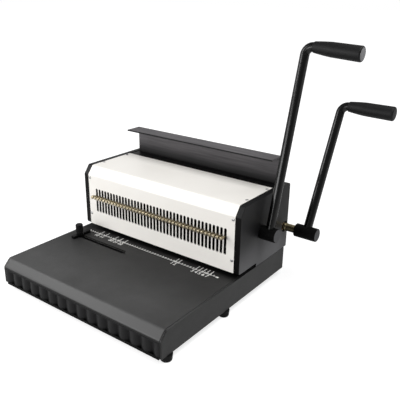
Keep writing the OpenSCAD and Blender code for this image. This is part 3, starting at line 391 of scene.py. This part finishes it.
# %% [markdown]
# The hubs of the levers are turned steel in a matt black enamel: the paint's flatting powder breaks up
# every reflection, so they are nearly pure black. The powder is far too fine to show, and noise of
# 1.5 mm stands for it. The hubs' end faces are painted grey as painted light from the right: those
# are the faces that look straight to the right, found by their direction.

# %% Matt black enamel on hubs
finish, tree, shader, place = new_finish("matt_black_enamel")
powder = add_node(tree, "ShaderNodeTexNoise", {"Vector": place, "Scale": per_metre(1.5), "Detail": 3.0})
tone = add_node(tree, "ShaderNodeMix",
                {0: powder, 6: srgb("#030303"), 7: srgb("#070707")}, data_type="RGBA")
# Painted light: the end faces that look to the right are painted grey.
side = add_node(tree, "ShaderNodeSeparateXYZ",
                {"Vector": add_node(tree, "ShaderNodeNewGeometry").outputs["True Normal"]})
end_face = add_node(tree, "ShaderNodeMapRange",
                    {"Value": side.outputs["X"], "From Min": 0.9, "From Max": 0.98})
end_painted_light = add_node(tree, "ShaderNodeMix", {0: end_face, 6: tone, 7: srgb("#606062")}, data_type="RGBA")
sheen = add_node(tree, "ShaderNodeMapRange", {"Value": powder, "To Min": 0.55, "To Max": 0.7})
keep_finish("hub", finish, shader,
            {"Base Color": end_painted_light, "Roughness": sheen, "IOR": 1.45, "Specular IOR Level": 0.1})

# %% [markdown]
# The grips are moulded in soft black PVC and pushed on. PVC has a dull, slightly greasy look: a broad
# soft highlight and a fine leathery skin, with about 1 mm between the wrinkles, drawn at 1.6 mm to
# show. Hands polish it in patches, so the roughness wanders.

# %% Moulded PVC grip
finish, tree, shader, place = new_finish("moulded_pvc")
skin = add_node(tree, "ShaderNodeTexVoronoi",
                {"Vector": place, "Scale": per_metre(1.6)}, feature="SMOOTH_F1")
handled_and_painted_shade = add_node(tree, "ShaderNodeTexNoise", {"Vector": place, "Scale": per_metre(18), "Detail": 3.0})
tone = add_node(tree, "ShaderNodeMix",
                {0: handled_and_painted_shade, 6: srgb("#0b0b0c"), 7: srgb("#131314")}, data_type="RGBA")
sheen = add_node(tree, "ShaderNodeMapRange", {"Value": handled_and_painted_shade, "To Min": 0.45, "To Max": 0.62})
bump = add_node(tree, "ShaderNodeBump", {"Height": skin, "Strength": 0.25, "Distance": 0.2 * MM})
keep_finish("pvc", finish, shader,
            {"Base Color": tone, "Roughness": sheen, "Normal": bump, "IOR": 1.53,
             "Specular IOR Level": 0.2})

# %% [markdown]
# The cap in the punch grip's end is grey polypropylene, while the closing grip's is black PVC like the
# grip. Polypropylene moulds with a waxy surface and a faint swirl where the plastic flowed out from the
# middle, which a soft noise gives.

# %% Grey polypropylene
finish, tree, shader, place = new_finish("grey_polypropylene")
swirl = add_node(tree, "ShaderNodeTexNoise",
                 {"Vector": place, "Scale": per_metre(5), "Detail": 3.0, "Distortion": 1.2})
tone = add_node(tree, "ShaderNodeMix",
                {0: swirl, 6: srgb("#808082"), 7: srgb("#8e8e90")}, data_type="RGBA")
bump = add_node(tree, "ShaderNodeBump", {"Height": swirl, "Strength": 0.15, "Distance": 0.2 * MM})
keep_finish("cap", finish, shader, {"Base Color": tone, "Normal": bump, "IOR": 1.49, "Roughness": 0.5})

# %% [markdown]
# The selector pins, the closing shaft and its collar are steel, zinc-plated and dipped in yellow
# chromate. The dip leaves a gold film that drifts from straw to olive where it is thicker, in clouds
# of a few millimetres, and the faces that look down are painted dark brown as painted shade. Fingers
# pull the pins all day and wear their film thin, so the pins are greyer, with bright and dull ones side
# by side. Their ends, the faces that look straight forward, are painted bright as a painted highlight.
# Being metal, both finishes keep the shader's default index of refraction.

# %% Yellow chromate on zinc
chromates = {
    "chromate": ("yellow_chromate_zinc", "#d0c29c", "#8e8262", 0.0),
    "pin": ("worn_chromate_zinc", "#cbbd9c", "#5a503e", 0.5),
}
for key, (name, straw, olive, bright_ends) in chromates.items():
    finish, tree, shader, place = new_finish(name)
    cloud = add_node(tree, "ShaderNodeTexNoise",
                     {"Vector": place, "Scale": per_metre(4), "Detail": 3.0})
    tone = add_node(tree, "ShaderNodeMix", {0: cloud, 6: srgb(straw), 7: srgb(olive)}, data_type="RGBA")
    side = add_node(tree, "ShaderNodeSeparateXYZ",
                    {"Vector": add_node(tree, "ShaderNodeNewGeometry").outputs["True Normal"]})
    # Painted shade: the faces that look down are painted dark brown.
    below = add_node(tree, "ShaderNodeMapRange",
                     {"Value": side.outputs["Z"], "From Min": 0.15, "From Max": -0.45})
    underside_painted_shade = add_node(tree, "ShaderNodeMix", {0: below, 6: tone, 7: srgb("#241f14")}, data_type="RGBA")
    # Painted highlight: the pins' ends that look forward are painted bright.
    end_face = add_node(tree, "ShaderNodeMapRange",
                        {"Value": side.outputs["Y"], "From Min": -0.8, "From Max": -0.95,
                         "To Max": bright_ends})
    rubbed_with_painted_highlight = add_node(tree, "ShaderNodeMix",
                      {0: end_face, 6: underside_painted_shade, 7: srgb("#ecdfc4")}, data_type="RGBA")
    sheen = add_node(tree, "ShaderNodeMapRange", {"Value": cloud, "To Min": 0.2, "To Max": 0.34})
    keep_finish(key, finish, shader, {"Base Color": rubbed_with_painted_highlight, "Roughness": sheen, "Metallic": 1.0})

# %% [markdown]
# The racks, the pinions, the punch shaft and the other running pieces are ground tool steel. The wheel
# leaves fine lines along the piece, under 0.1 mm apart and drawn at 0.6 mm to show, so a highlight
# stretches across them. Noise that is squeezed across the lines and drawn out along them gives both the
# tone and the bump.

# %% Ground steel
finish, tree, shader, place = new_finish("ground_steel")
lines = add_node(tree, "ShaderNodeMapping", {"Vector": place, "Scale": (0.02, 1.0, 1.0)})
grind = add_node(tree, "ShaderNodeTexNoise", {"Vector": lines, "Scale": per_metre(0.6), "Detail": 2.0})
tone = add_node(tree, "ShaderNodeMix",
                {0: grind, 6: srgb("#9b9da0"), 7: srgb("#bcbec1")}, data_type="RGBA")
sheen = add_node(tree, "ShaderNodeMapRange", {"Value": grind, "To Min": 0.24, "To Max": 0.4})
bump = add_node(tree, "ShaderNodeBump", {"Height": grind, "Strength": 0.15, "Distance": 0.05 * MM})
keep_finish("steel", finish, shader,
            {"Base Color": tone, "Roughness": sheen, "Normal": bump, "Metallic": 1.0})

# %% [markdown]
# The press beam, the punches and their die, the bearing plates and the closing bed are blackened: a hot
# salt bath turns the skin to black oxide, and oil fills it. It stays a metal under a dark, mottled film
# with cloudy patches about a centimetre across.

# %% Black oxide steel
finish, tree, shader, place = new_finish("black_oxide_steel")
mottle = add_node(tree, "ShaderNodeTexNoise", {"Vector": place, "Scale": per_metre(9), "Detail": 4.0})
tone = add_node(tree, "ShaderNodeMix",
                {0: mottle, 6: srgb("#050506"), 7: srgb("#0b0b0c")}, data_type="RGBA")
sheen = add_node(tree, "ShaderNodeMapRange", {"Value": mottle, "To Min": 0.38, "To Max": 0.56})
keep_finish("oxide", finish, shader,
            {"Base Color": tone, "Roughness": sheen, "Metallic": 0.6, "Specular IOR Level": 0.2})

# %% [markdown]
# The shafts run in sintered bronze bushes. Pressed from powder, they are a matt, brown-gold metal full
# of oil-filled pores. Real pores are too fine to show, so they are drawn as dark specks about 0.4 mm
# across: the low places of a noise.

# %% Sintered bronze
finish, tree, shader, place = new_finish("sintered_bronze")
pores = add_node(tree, "ShaderNodeTexNoise", {"Vector": place, "Scale": per_metre(0.8), "Detail": 2.0})
speck = add_node(tree, "ShaderNodeMapRange", {"Value": pores, "From Min": 0.36, "From Max": 0.46})
tone = add_node(tree, "ShaderNodeMix",
                {0: speck, 6: srgb("#5c4526"), 7: srgb("#a9834c")}, data_type="RGBA")
keep_finish("bronze", finish, shader, {"Base Color": tone, "Metallic": 1.0, "Roughness": 0.45})

# %% [markdown]
# The feet are moulded nitrile rubber, the dullest black on the machine. Rubber scatters nearly all
# the light that it doesn't swallow, and dust greys it in patches.

# %% Moulded rubber
finish, tree, shader, place = new_finish("moulded_rubber")
dust_and_painted_reflection = add_node(tree, "ShaderNodeTexNoise", {"Vector": place, "Scale": per_metre(6), "Detail": 4.0})
tone = add_node(tree, "ShaderNodeMix",
                {0: dust_and_painted_reflection, 6: srgb("#050505"), 7: srgb("#0c0c0d")}, data_type="RGBA")
bump = add_node(tree, "ShaderNodeBump", {"Height": dust_and_painted_reflection, "Strength": 0.2, "Distance": 0.3 * MM})
keep_finish("rubber", finish, shader,
            {"Base Color": tone, "Normal": bump, "IOR": 1.52, "Roughness": 0.72,
             "Specular IOR Level": 0.2})

# %% [markdown]
# The screws and the springs are bright zinc on steel, a white metal with a fine spangle of crystals.
# Cells of a Voronoi pattern, about 1 mm across, stand for the crystals: each is lighter and smoother in
# its middle.

# %% Bright zinc
finish, tree, shader, place = new_finish("bright_zinc")
spangle = add_node(tree, "ShaderNodeTexVoronoi", {"Vector": place, "Scale": per_metre(1.2)})
tone = add_node(tree, "ShaderNodeMix",
                {0: spangle, 6: srgb("#c6c6c6"), 7: srgb("#a6a6a7")}, data_type="RGBA")
sheen = add_node(tree, "ShaderNodeMapRange", {"Value": spangle, "To Min": 0.28, "To Max": 0.42})
keep_finish("zinc", finish, shader, {"Base Color": tone, "Roughness": sheen, "Metallic": 1.0})

# %% [markdown]
# The scale on the table is screen-printed in white ink. The ink sits in a thin, matt layer and is a
# little starved on the grains of the powder coat, so its white is broken up by fine noise.

# %% Screen ink
finish, tree, shader, place = new_finish("white_screen_ink")
starved = add_node(tree, "ShaderNodeTexNoise",
                   {"Vector": place, "Scale": per_metre(1.2), "Detail": 3.0})
tone = add_node(tree, "ShaderNodeMix",
                {0: starved, 6: srgb("#d6d6d3"), 7: srgb("#fafaf7")}, data_type="RGBA")
keep_finish("ink", finish, shader, {"Base Color": tone, "IOR": 1.5, "Roughness": 0.65})

# %% [markdown]
# Each solid now takes its finish, and its edges are softened. No real edge is razor sharp: folded
# sheet, moulded plastic and deburred steel all have a small round that catches the light.
# The edges could be rounded in the solids, at a cost in every later step. Here modifiers do it on the
# fly: weld the split corners, merge flat facets, round every corner sharper than 35 degrees, and let
# large faces lead the shading so that they stay flat. On the drawer's front the narrow ribs leave no
# room for that everywhere, so there the round is held back where edges would meet.

# %% Finish and edge radius of each solid
sharp_angle = math.radians(35)
flat_angle = math.radians(0.1)
weld_reach = 0.002 * MM


def round_edges(piece, radius_mm, segments, clamp=False):
    """Rounds every sharp corner, and holds back where edges would meet if clamped."""
    bevel = piece.modifiers.new("round_edge", "BEVEL")
    bevel.width = radius_mm * MM
    bevel.segments = segments
    bevel.limit_method = "ANGLE"
    bevel.angle_limit = sharp_angle
    bevel.use_clamp_overlap = clamp


def let_flat_faces_lead(piece):
    """Shades round corners after the large faces beside them, which then look flat."""
    lead = piece.modifiers.new("flat_faces_lead", "WEIGHTED_NORMAL")
    lead.keep_sharp = False


def soften(piece, radius_mm, segments, clamp=False):
    """Rounds a solid's sharp edges with modifiers, and leaves its own mesh as it is."""
    weld = piece.modifiers.new("weld", "WELD")
    weld.merge_threshold = weld_reach
    merge = piece.modifiers.new("merge_flat", "DECIMATE")
    merge.decimate_type = "DISSOLVE"
    merge.angle_limit = flat_angle
    round_edges(piece, radius_mm, segments, clamp)
    let_flat_faces_lead(piece)


# Radius of each solid's edges in millimetres, by finish.
dressing = {
    "powder": {"base_top": 0.4, "base_side_left": 1.6, "base_side_right": 1.6, "base_pan": 0.4},
    "sheet": {"end_plate_left": 0.7, "end_plate_right": 0.7, "rear_cover": 0.5},
    "phosphate": {"closing_plate": 0.6},
    "enamel": {"front_cover": 0.15},
    "abs": {"drawer_front": 0.25, "drawer_tray": 0.4, "guide_knob": 0.3},
    "rod": {"punch_rod": 0, "closing_rod": 0},
    "hub": {"punch_hub": 0.3, "closing_hub": 0.3},
    "pvc": {"punch_grip": 0, "closing_grip": 0, "closing_grip_cap": 0.3},
    "cap": {"punch_grip_cap": 0.3},
    "chromate": {"closing_shaft": 0.3, "closing_collar": 0.4},
    "pin": {"pull_pins": 0},
    "steel": {"beam_guides": 0.4, "punch_racks": 0.2, "punch_shaft": 0.4, "punch_pinions": 0.2,
              "closing_guides": 0.4, "closing_racks": 0.2, "closing_sectors": 0.2,
              "drawer_rails": 0.4, "guide_stud": 0.2},
    "oxide": {"press_beam": 0.4, "closing_bed": 0.5, "guide_bar": 0.6, "frame_bolts": 0.3,
              "die_bar": 0, "punches": 0, "punch_guide": 0, "paper_stop": 0.3,
              "bearing_plate_left": 0.3, "bearing_plate_right": 0.3},
    "bronze": {"shaft_bushes": 0.3},
    "rubber": {"rubber_feet": 0},
    "zinc": {"foot_screws": 0.3},
}
for side in ("left", "right"):
    for number in (1, 2, 3):
        dressing["pin"][f"pull_pin_{side}_{number}"] = 0

for key, group in dressing.items():
    for name, radius in group.items():
        for holder in nodes[name].material_slots:
            holder.material = finishes[key]
        if radius:
            soften(nodes[name], radius, segments=3, clamp=name == "drawer_front")
print("dressed", sum(len(g) for g in dressing.values()), "solids in", len(dressing), "finishes")

# %% [markdown]
# Round pieces whose outline was turned in short straight steps, such as the grips, the pins and the
# feet, need smooth shading across those steps but not over their ends. Welding the split corners and
# letting large faces lead does that too, with a hair-fine round on the ends.

# %% Smooth the turned pieces
turned = ["punch_grip", "closing_grip", "rubber_feet", "pull_pins", "punch_rod", "closing_rod"]
turned += [name for name in nodes if name.startswith("pull_pin_")]
hair_round = 0.15
for name in turned:
    soften(nodes[name], hair_round, segments=2)
print("smoothed", len(turned), "turned pieces")

# %% [markdown]
# New pieces are built point by point in a bmesh. One helper turns that into a mesh, and another makes
# an object of the mesh that wears a finish and rides on a body of the machine, so that no piece is
# left without either.

# %% Helpers for new pieces


def mesh_of(made, name):
    """A mesh from a bmesh, which is freed."""
    mesh = bpy.data.meshes.new(name)
    made.to_mesh(mesh)
    made.free()
    return mesh


def add_piece(name, mesh, body, key):
    """A new object that rides on a body and wears a finish."""
    piece = bpy.data.objects.new(name, mesh)
    scene.collection.objects.link(piece)
    piece.data.materials.append(finishes[key])
    for face in piece.data.polygons:
        face.use_smooth = True
    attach(piece, body)
    return piece


# %% [markdown]
# Two springs lift the press beam and two lift the closing plate. A compression spring is wire wound
# on a helix, with its end turns laid close so that it stands square. A curve with a bevel would do,
# but here it is built as a mesh of tubes. Each ring of points is set square to the wire, turn by turn.

# %% Wound springs


def spring_mesh(name, centres, low, high, coil, wire, turns):
    """Springs of the same size at several centres, as one mesh of smooth tubes."""
    per_turn = 40
    sides = 14
    end_turns = 0.8
    steps = int(turns * per_turn)
    radius = (coil - wire) / 2
    rise_free = high - low - wire
    end_pitch = 1.12 * wire
    middle_pitch = (rise_free - 2 * end_turns * end_pitch) / (turns - 2 * end_turns)
    mesh = bmesh.new()
    for centre in centres:
        rings = []
        for step in range(steps + 1):
            turn_count = step / per_turn
            from_end = min(turn_count, turns - turn_count)
            height = end_pitch * min(from_end, end_turns) + middle_pitch * max(0, from_end - end_turns)
            if turn_count > turns / 2:
                height = rise_free - height
            angle = 2 * math.pi * turn_count
            out = Vector((math.cos(angle), math.sin(angle), 0))
            middle = Vector(centre) + out * radius + Vector((0, 0, low + wire / 2 + height))
            ring = []
            for side in range(sides):
                a = 2 * math.pi * side / sides
                offset = out * math.cos(a) + Vector((0, 0, 1)) * math.sin(a)
                ring.append(mesh.verts.new(middle + offset * wire / 2))
            rings.append(ring)
        for first, second in zip(rings, rings[1:]):
            for side in range(sides):
                other = (side + 1) % sides
                mesh.faces.new((first[side], first[other], second[other], second[side]))
        mesh.faces.new(list(reversed(rings[0])))
        mesh.faces.new(rings[-1])
    bmesh.ops.recalc_face_normals(mesh, faces=mesh.faces)
    return mesh_of(mesh, name)


def add_springs(name, node, wire_mm, turns):
    """Springs in the place of a solid pair, riding on the frame."""
    low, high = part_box(node)
    coil = 12 * MM
    middle_y = (low.y + high.y) / 2
    centres = [(low.x + coil / 2, middle_y, 0), (high.x - coil / 2, middle_y, 0)]
    mesh = spring_mesh(name, centres, low.z, high.z, coil, wire_mm * MM, turns)
    piece = add_piece(name, mesh, "frame", "zinc")
    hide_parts(node)
    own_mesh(piece)


add_springs("wound_punch_springs", "punch_springs",
            wire_mm=1.6, turns=7)
add_springs("wound_closing_springs", "closing_springs",
            wire_mm=1.4, turns=14)

# %% [markdown]
# The white cover is held by small pan-head screws with a cross recess, two on the face and two on the
# top at each end. A screw is turned, so its outline is spun round its axis; the recess is then cut
# with a cross whose four wings taper towards the tip, as the driver's do.

# %% Cross-head screws
head_radius = 3.0
head_rim = 0.45
crown_rise = 1.15
shank_radius = 1.5
shank_length = 7.0
tip_radius = 1.1
tip_height = 0.5


def screw_outline():
    """Radius and height of a pan-head screw in millimetres, from the shank's tip to the crown."""
    tip = [(0, -shank_length), (tip_radius, -shank_length)]
    shank = [(shank_radius, tip_height - shank_length), (shank_radius, 0.0), (head_radius, 0.0)]
    crown = [(head_radius * math.cos(a), head_rim + crown_rise * math.sin(a))
             for a in [math.radians(d) for d in range(0, 90, 9)]]
    return tip + shank + crown + [(0, head_rim + crown_rise)]


def spin_mesh(outline, parts):
    """An outline of (radius, height) in millimetres, spun round Z."""
    mesh = bmesh.new()
    rings = []
    for radius, height in outline:
        if radius == 0:
            rings.append([mesh.verts.new((0, 0, height * MM))])
        else:
            angles = [2 * math.pi * k / parts for k in range(parts)]
            points = [Vector((radius * math.cos(a), radius * math.sin(a), height)) * MM for a in angles]
            rings.append([mesh.verts.new(point) for point in points])
    for first, second in zip(rings, rings[1:]):
        for k in range(parts):
            n = (k + 1) % parts
            below = [first[k % len(first)], first[n % len(first)]]
            above = [second[n % len(second)], second[k % len(second)]]
            mesh.faces.new(list(dict.fromkeys(below + above)))
    bmesh.ops.recalc_face_normals(mesh, faces=mesh.faces)
    return mesh


def cross_mesh():
    """The driver's cross: two tapered bars, wide at the crown and narrow at the bottom of the recess."""
    mesh = bmesh.new()
    for quarter in (0, 1):
        made = bmesh.ops.create_cube(mesh, size=1.0)
        for vert in made["verts"]:
            top = vert.co.z > 0
            reach = 1.7 if top else 0.9
            thick = 0.42 if top else 0.3
            x = math.copysign(reach, vert.co.x)
            y = math.copysign(thick, vert.co.y)
            z = 2.2 if top else 0.5
            vert.co = Vector((x, y, z) if quarter == 0 else (-y, x, z)) * MM
    return mesh


blank = bpy.data.objects.new("screw_blank", mesh_of(spin_mesh(screw_outline(), parts=40), "screw_blank"))
cutter = bpy.data.objects.new("screw_cutter", mesh_of(cross_mesh(), "screw_cutter"))
for helper in (blank, cutter):
    scene.collection.objects.link(helper)
cut = blank.modifiers.new("recess", "BOOLEAN")
cut.object = cutter
cut.operation = "DIFFERENCE"
cut.use_self = True
bpy.context.view_layer.update()
screw = bpy.data.meshes.new_from_object(blank.evaluated_get(bpy.context.evaluated_depsgraph_get()))
for helper in (blank, cutter):
    bpy.data.objects.remove(helper)

screws = bmesh.new()
screw_low, screw_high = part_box("cover_screws")
face_heights = (32.4, 113.0)
top_depths = (42.5, 114.1)
cover_top = (cover_high.z - table_top) / MM
turn_between = 37
count = 0
for edge_x in (screw_low.x + head_radius * MM, screw_high.x - head_radius * MM):
    x = (edge_x - row_middle) / MM
    seats = [(at(x, 0, z), Matrix.Rotation(math.radians(90), 4, "X")) for z in face_heights]
    seats += [(at(x, y, cover_top), Matrix.Identity(4)) for y in top_depths]
    for seat, facing in seats:
        spun = Matrix.Rotation(math.radians(turn_between * count), 4, "Z")
        piece = screw.copy()
        piece.transform(Matrix.Translation(seat) @ facing @ spun)
        screws.from_mesh(piece)
        bpy.data.meshes.remove(piece)
        count += 1
screw_piece = add_piece("cross_head_screws", mesh_of(screws, "cross_head_screws"), "frame", "zinc")
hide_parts("cover_screws")
let_flat_faces_lead(screw_piece)
print("set", count, "cross-head screws")

# %% [markdown]
# The drawer is pulled by the fingers under its ribbed front, where the front is undercut. A near-black
# strip fills the undercut down to the lip as painted shade, so the front looks straight from above. It
# is as matt and black as the hubs, so it wears their finish. It is an extruded strip, so its outline is
# drawn once, with a round nose, and drawn out along the front.

# %% Painted shade strip under the drawer front
front_low, front_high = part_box("drawer_front")
strip_face = 0.1
strip_top = 0.4
strip_drop = 7.1
nose_round = 1.5
strip_deep = 4.6
strip_inset = 1.5
rib_foot = -44.0
strip_foot = rib_foot - strip_drop
front_face = (front_low.y - cover_low.y) / MM + strip_face
nose_turns = [math.radians(d) for d in range(0, 91, 15)]
outline = [(front_face, rib_foot - strip_top)]
outline += [(front_face + nose_round * (1 - math.cos(a)), strip_foot + nose_round * (1 - math.sin(a)))
            for a in nose_turns]
outline += [(front_face + strip_deep, strip_foot)]
strip = bmesh.new()
ends = []
for x in (front_low.x + strip_inset * MM, front_high.x - strip_inset * MM):
    end = [at(0, y, z) for y, z in outline]
    ends.append([strip.verts.new((x, p.y, p.z)) for p in end])
for k in range(len(outline)):
    n = (k + 1) % len(outline)
    strip.faces.new((ends[0][k], ends[0][n], ends[1][n], ends[1][k]))
for end in ends:
    strip.faces.new(end)
bmesh.ops.recalc_face_normals(strip, faces=strip.faces)
# Painted shade: the strip is near-black and stands for the shaded undercut.
strip_piece = add_piece("undercut_shade_strip", mesh_of(strip, "undercut_shade_strip"), "chip_drawer", "hub")
round_edges(strip_piece, radius_mm=0.3, segments=2, clamp=True)
let_flat_faces_lead(strip_piece)
print("strip from", [round(v, 2) for v in outline[0]], "to", [round(v, 2) for v in outline[-1]])

# %% [markdown]
# A scale is printed along the back of the table: one long base line with fine ticks, and groups of
# square marks with plain numbers, where sheets of different sizes line up. The print is raised by
# 0.06 mm, about the thickness of a heavy ink film. The numbers are text that is turned into a mesh. Two
# matt black strips are laid along the slot of the edge guide in the same way, as painted shade that
# makes the slot look wider.

# %% Printed scale and painted slot shade
layer_low = 0.02
layer_high = 0.06
scale = bmesh.new()
slot_shade = bmesh.new()


def flat_bar(x0, y0, x1, y1, width, lay_on=scale):
    """A straight bar on the table, from one point to another, in millimetres: print for the scale, and
    painted shade along the slot.
    """
    along = Vector((x1 - x0, y1 - y0, 0)).normalized()
    across = Vector((-along.y, along.x, 0)) * width / 2
    ends = [Vector((x0, y0, 0)), Vector((x1, y1, 0))]
    flat = [ends[0] - across, ends[1] - across, ends[1] + across, ends[0] + across]
    low = [lay_on.verts.new(at(p.x, p.y, layer_low)) for p in flat]
    high = [lay_on.verts.new(at(p.x, p.y, layer_high)) for p in flat]
    lay_on.faces.new(high)
    lay_on.faces.new(list(reversed(low)))
    for k in range(4):
        n = (k + 1) % 4
        lay_on.faces.new((low[k], low[n], high[n], high[k]))


line_y = -19.0
line_left = -175
line_right = 163
line_width = 0.9
flat_bar(line_left, line_y, line_right, line_y, line_width)

# The line starts at a thin upright stop and ends in a block.
stop_low = line_y - 9
stop_high = line_y + 3
block_left = line_right - 2.5
block_right = line_right + 3
block_width = 4.0
flat_bar(line_left, stop_high, line_left, stop_low, line_width)
flat_bar(block_left, line_y, block_right, line_y, block_width)

fine_pitch = 6.8
fine_width = 1.6
fine_low = line_y - 1.2
fine_high = line_y + 4.0
for k in range(int((line_right - line_left) / fine_pitch)):
    x = line_left + fine_pitch * (k + 0.5)
    flat_bar(x, fine_low, x, fine_high, fine_width)

# First and last place of each group, its count of marks, and the number on its first mark.
groups = [(-142, -127, 2, 10), (-100.4, -72.8, 3, 20), (63.4, 70.7, 2, 1), (113.2, 146.3, 5, 3)]
mark_width = 1.5
mark_reach = 14.5
foot_width = 3.4
foot_half = 2.2
number_size = 11.5
number_shift = 1.0
number_bold = 0.15
numbers = []
for first, last, marks, start in groups:
    for k in range(marks):
        x = first + (last - first) * k / (marks - 1)
        flat_bar(x, line_y, x, line_y + mark_reach, mark_width)
        flat_bar(x - foot_half, line_y, x + foot_half, line_y, foot_width)
        numbers.append((x - number_shift, line_y - number_size, str(start + k)))

# Painted shade: matt black strips along the edge guide's slot make it look wider.
margin_left = -170
margin_right = -40.5
for margin_y, margin_width in ((-46.9, 4.4), (-55.8, 1.8)):
    flat_bar(margin_left, margin_y, margin_right, margin_y, margin_width, lay_on=slot_shade)

for x, y, digits in numbers:
    curve = bpy.data.curves.new("number", "FONT")
    curve.body = digits
    curve.size = number_size * MM
    curve.offset = number_bold * MM
    curve.align_x = "CENTER"
    curve.extrude = (layer_high - layer_low) / 2 * MM
    writing = bpy.data.objects.new("number", curve)
    scene.collection.objects.link(writing)
    bpy.context.view_layer.update()
    shape = bpy.data.meshes.new_from_object(writing.evaluated_get(bpy.context.evaluated_depsgraph_get()))
    shape.transform(Matrix.Translation(at(x, y, (layer_low + layer_high) / 2)))
    scale.from_mesh(shape)
    bpy.data.objects.remove(writing)
    bpy.data.meshes.remove(shape)
bmesh.ops.recalc_face_normals(scale, faces=scale.faces)
scale_piece = add_piece("printed_scale", mesh_of(scale, "printed_scale"), "frame", "ink")
bmesh.ops.recalc_face_normals(slot_shade, faces=slot_shade.faces)
slot_shade_piece = add_piece("slot_painted_shade", mesh_of(slot_shade, "slot_painted_shade"), "frame", "hub")
for printed in (scale_piece, slot_shade_piece):
    for face in printed.data.polygons:
        face.use_smooth = False
print("printed", len(numbers), "marks with numbers")

# %% [markdown]
# The studio is a pale floor under a white sky. The floor takes the object's shadow. For the camera a
# faint glow lifts it to white, more so far away where the lamps don't reach, and mirrors see a share
# of that glow too. The sky shows white but lights the object weakly; in mirrors it is white only low
# down behind the machine, as a backdrop would be, and a dim room elsewhere.

# %% Floor and sky
floor_mesh = bmesh.new()
bmesh.ops.create_grid(floor_mesh, x_segments=1, y_segments=1, size=15.0)
floor = bpy.data.objects.new("floor", mesh_of(floor_mesh, "floor"))
scene.collection.objects.link(floor)
finish, tree, shader, place = new_finish("white_floor")
path = add_node(tree, "ShaderNodeLightPath")
distance = add_node(tree, "ShaderNodeVectorMath", {0: place}, operation="LENGTH")
lift = add_node(tree, "ShaderNodeMapRange",
                {"Value": distance, "From Min": 0.4, "From Max": 1.6, "To Min": 0.76, "To Max": 0.96},
                interpolation_type="SMOOTHSTEP")
seen = add_node(tree, "ShaderNodeMath",
                {0: path.outputs["Is Camera Ray"], 1: lift}, operation="MULTIPLY")
mirrored = add_node(tree, "ShaderNodeMath",
                    {0: path.outputs["Is Glossy Ray"], 1: path.outputs["Is Transmission Ray"]},
                    operation="MAXIMUM")
glow_in_mirrors = 0.42
faint = add_node(tree, "ShaderNodeMath",
                 {0: mirrored, 1: glow_in_mirrors, 2: seen}, operation="MULTIPLY_ADD")
paper = add_node(tree, "ShaderNodeBsdfDiffuse", {"Color": srgb("#b4b4b4")})
glow = add_node(tree, "ShaderNodeEmission", {"Strength": faint})
both = add_node(tree, "ShaderNodeAddShader", {0: paper, 1: glow})
plug(tree, tree.nodes["Material Output"], {"Surface": both})
tree.nodes.remove(shader)
floor.data.materials.append(finish)

sky = bpy.data.worlds.new("white_sky")
scene.world = sky
sky.use_nodes = True
tree = sky.node_tree
path = add_node(tree, "ShaderNodeLightPath")
way = add_node(tree, "ShaderNodeSeparateXYZ",
               {"Vector": add_node(tree, "ShaderNodeTexCoord").outputs["Generated"]})
behind = add_node(tree, "ShaderNodeMapRange",
                  {"Value": way.outputs["Y"], "From Min": -0.35, "From Max": 0.25},
                  interpolation_type="SMOOTHSTEP")
low_down = add_node(tree, "ShaderNodeMapRange",
                    {"Value": way.outputs["Z"], "From Min": 0.6, "From Max": 0.1},
                    interpolation_type="SMOOTHSTEP")
backdrop = add_node(tree, "ShaderNodeMath", {0: behind, 1: low_down}, operation="MULTIPLY")
mirrored = add_node(tree, "ShaderNodeMath",
                    {0: path.outputs["Is Glossy Ray"], 1: path.outputs["Is Transmission Ray"]},
                    operation="MAXIMUM")
in_mirrors = add_node(tree, "ShaderNodeMapRange", {"Value": backdrop, "To Min": 0.22, "To Max": 1.0})
unseen = add_node(tree, "ShaderNodeMix", {0: mirrored, 2: 0.3, 3: in_mirrors}, data_type="FLOAT")
level = add_node(tree, "ShaderNodeMix",
                 {0: path.outputs["Is Camera Ray"], 2: unseen, 3: 1.0}, data_type="FLOAT")
plug(tree, tree.nodes["Background"], {"Color": (1, 1, 1, 1), "Strength": level})
scene.view_settings.view_transform = "Standard"
print("floor and sky ready")

# %% [markdown]
# Three softboxes light the machine at a plain level. One overhead on the right lights the top of the
# cover and the table; from behind, the tall closing plate would shade both. A wide, low one in front
# lights the cover's face. A small one high on the left is there for the rubbed front edge of the base,
# which mirrors it to the camera.

# %% Lamps
middle = at(0, 0, 40)


def add_softbox(name, offset, width, height, watts):
    """A rectangular lamp at an offset from the machine's middle, which it faces."""
    lamp = bpy.data.lights.new(name, "AREA")
    lamp.shape = "RECTANGLE"
    lamp.size = width
    lamp.size_y = height
    lamp.energy = watts
    holder = bpy.data.objects.new(name, lamp)
    place = middle + offset
    aim = (-offset).to_track_quat("-Z", "Y")
    holder.matrix_world = Matrix.Translation(place) @ aim.to_matrix().to_4x4()
    scene.collection.objects.link(holder)
    print(name, "at", [round(v, 2) for v in place], watts, "W")


add_softbox("top_softbox", Vector((0.75, 0.2, 1.6)), width=1.2, height=0.8, watts=20)
add_softbox("front_softbox", Vector((-0.6, -1.65, 0.4)), width=1.4, height=0.6, watts=19)
add_softbox("nose_softbox", Vector((-1.2, -0.95, 1.05)), width=0.7, height=0.7, watts=12)
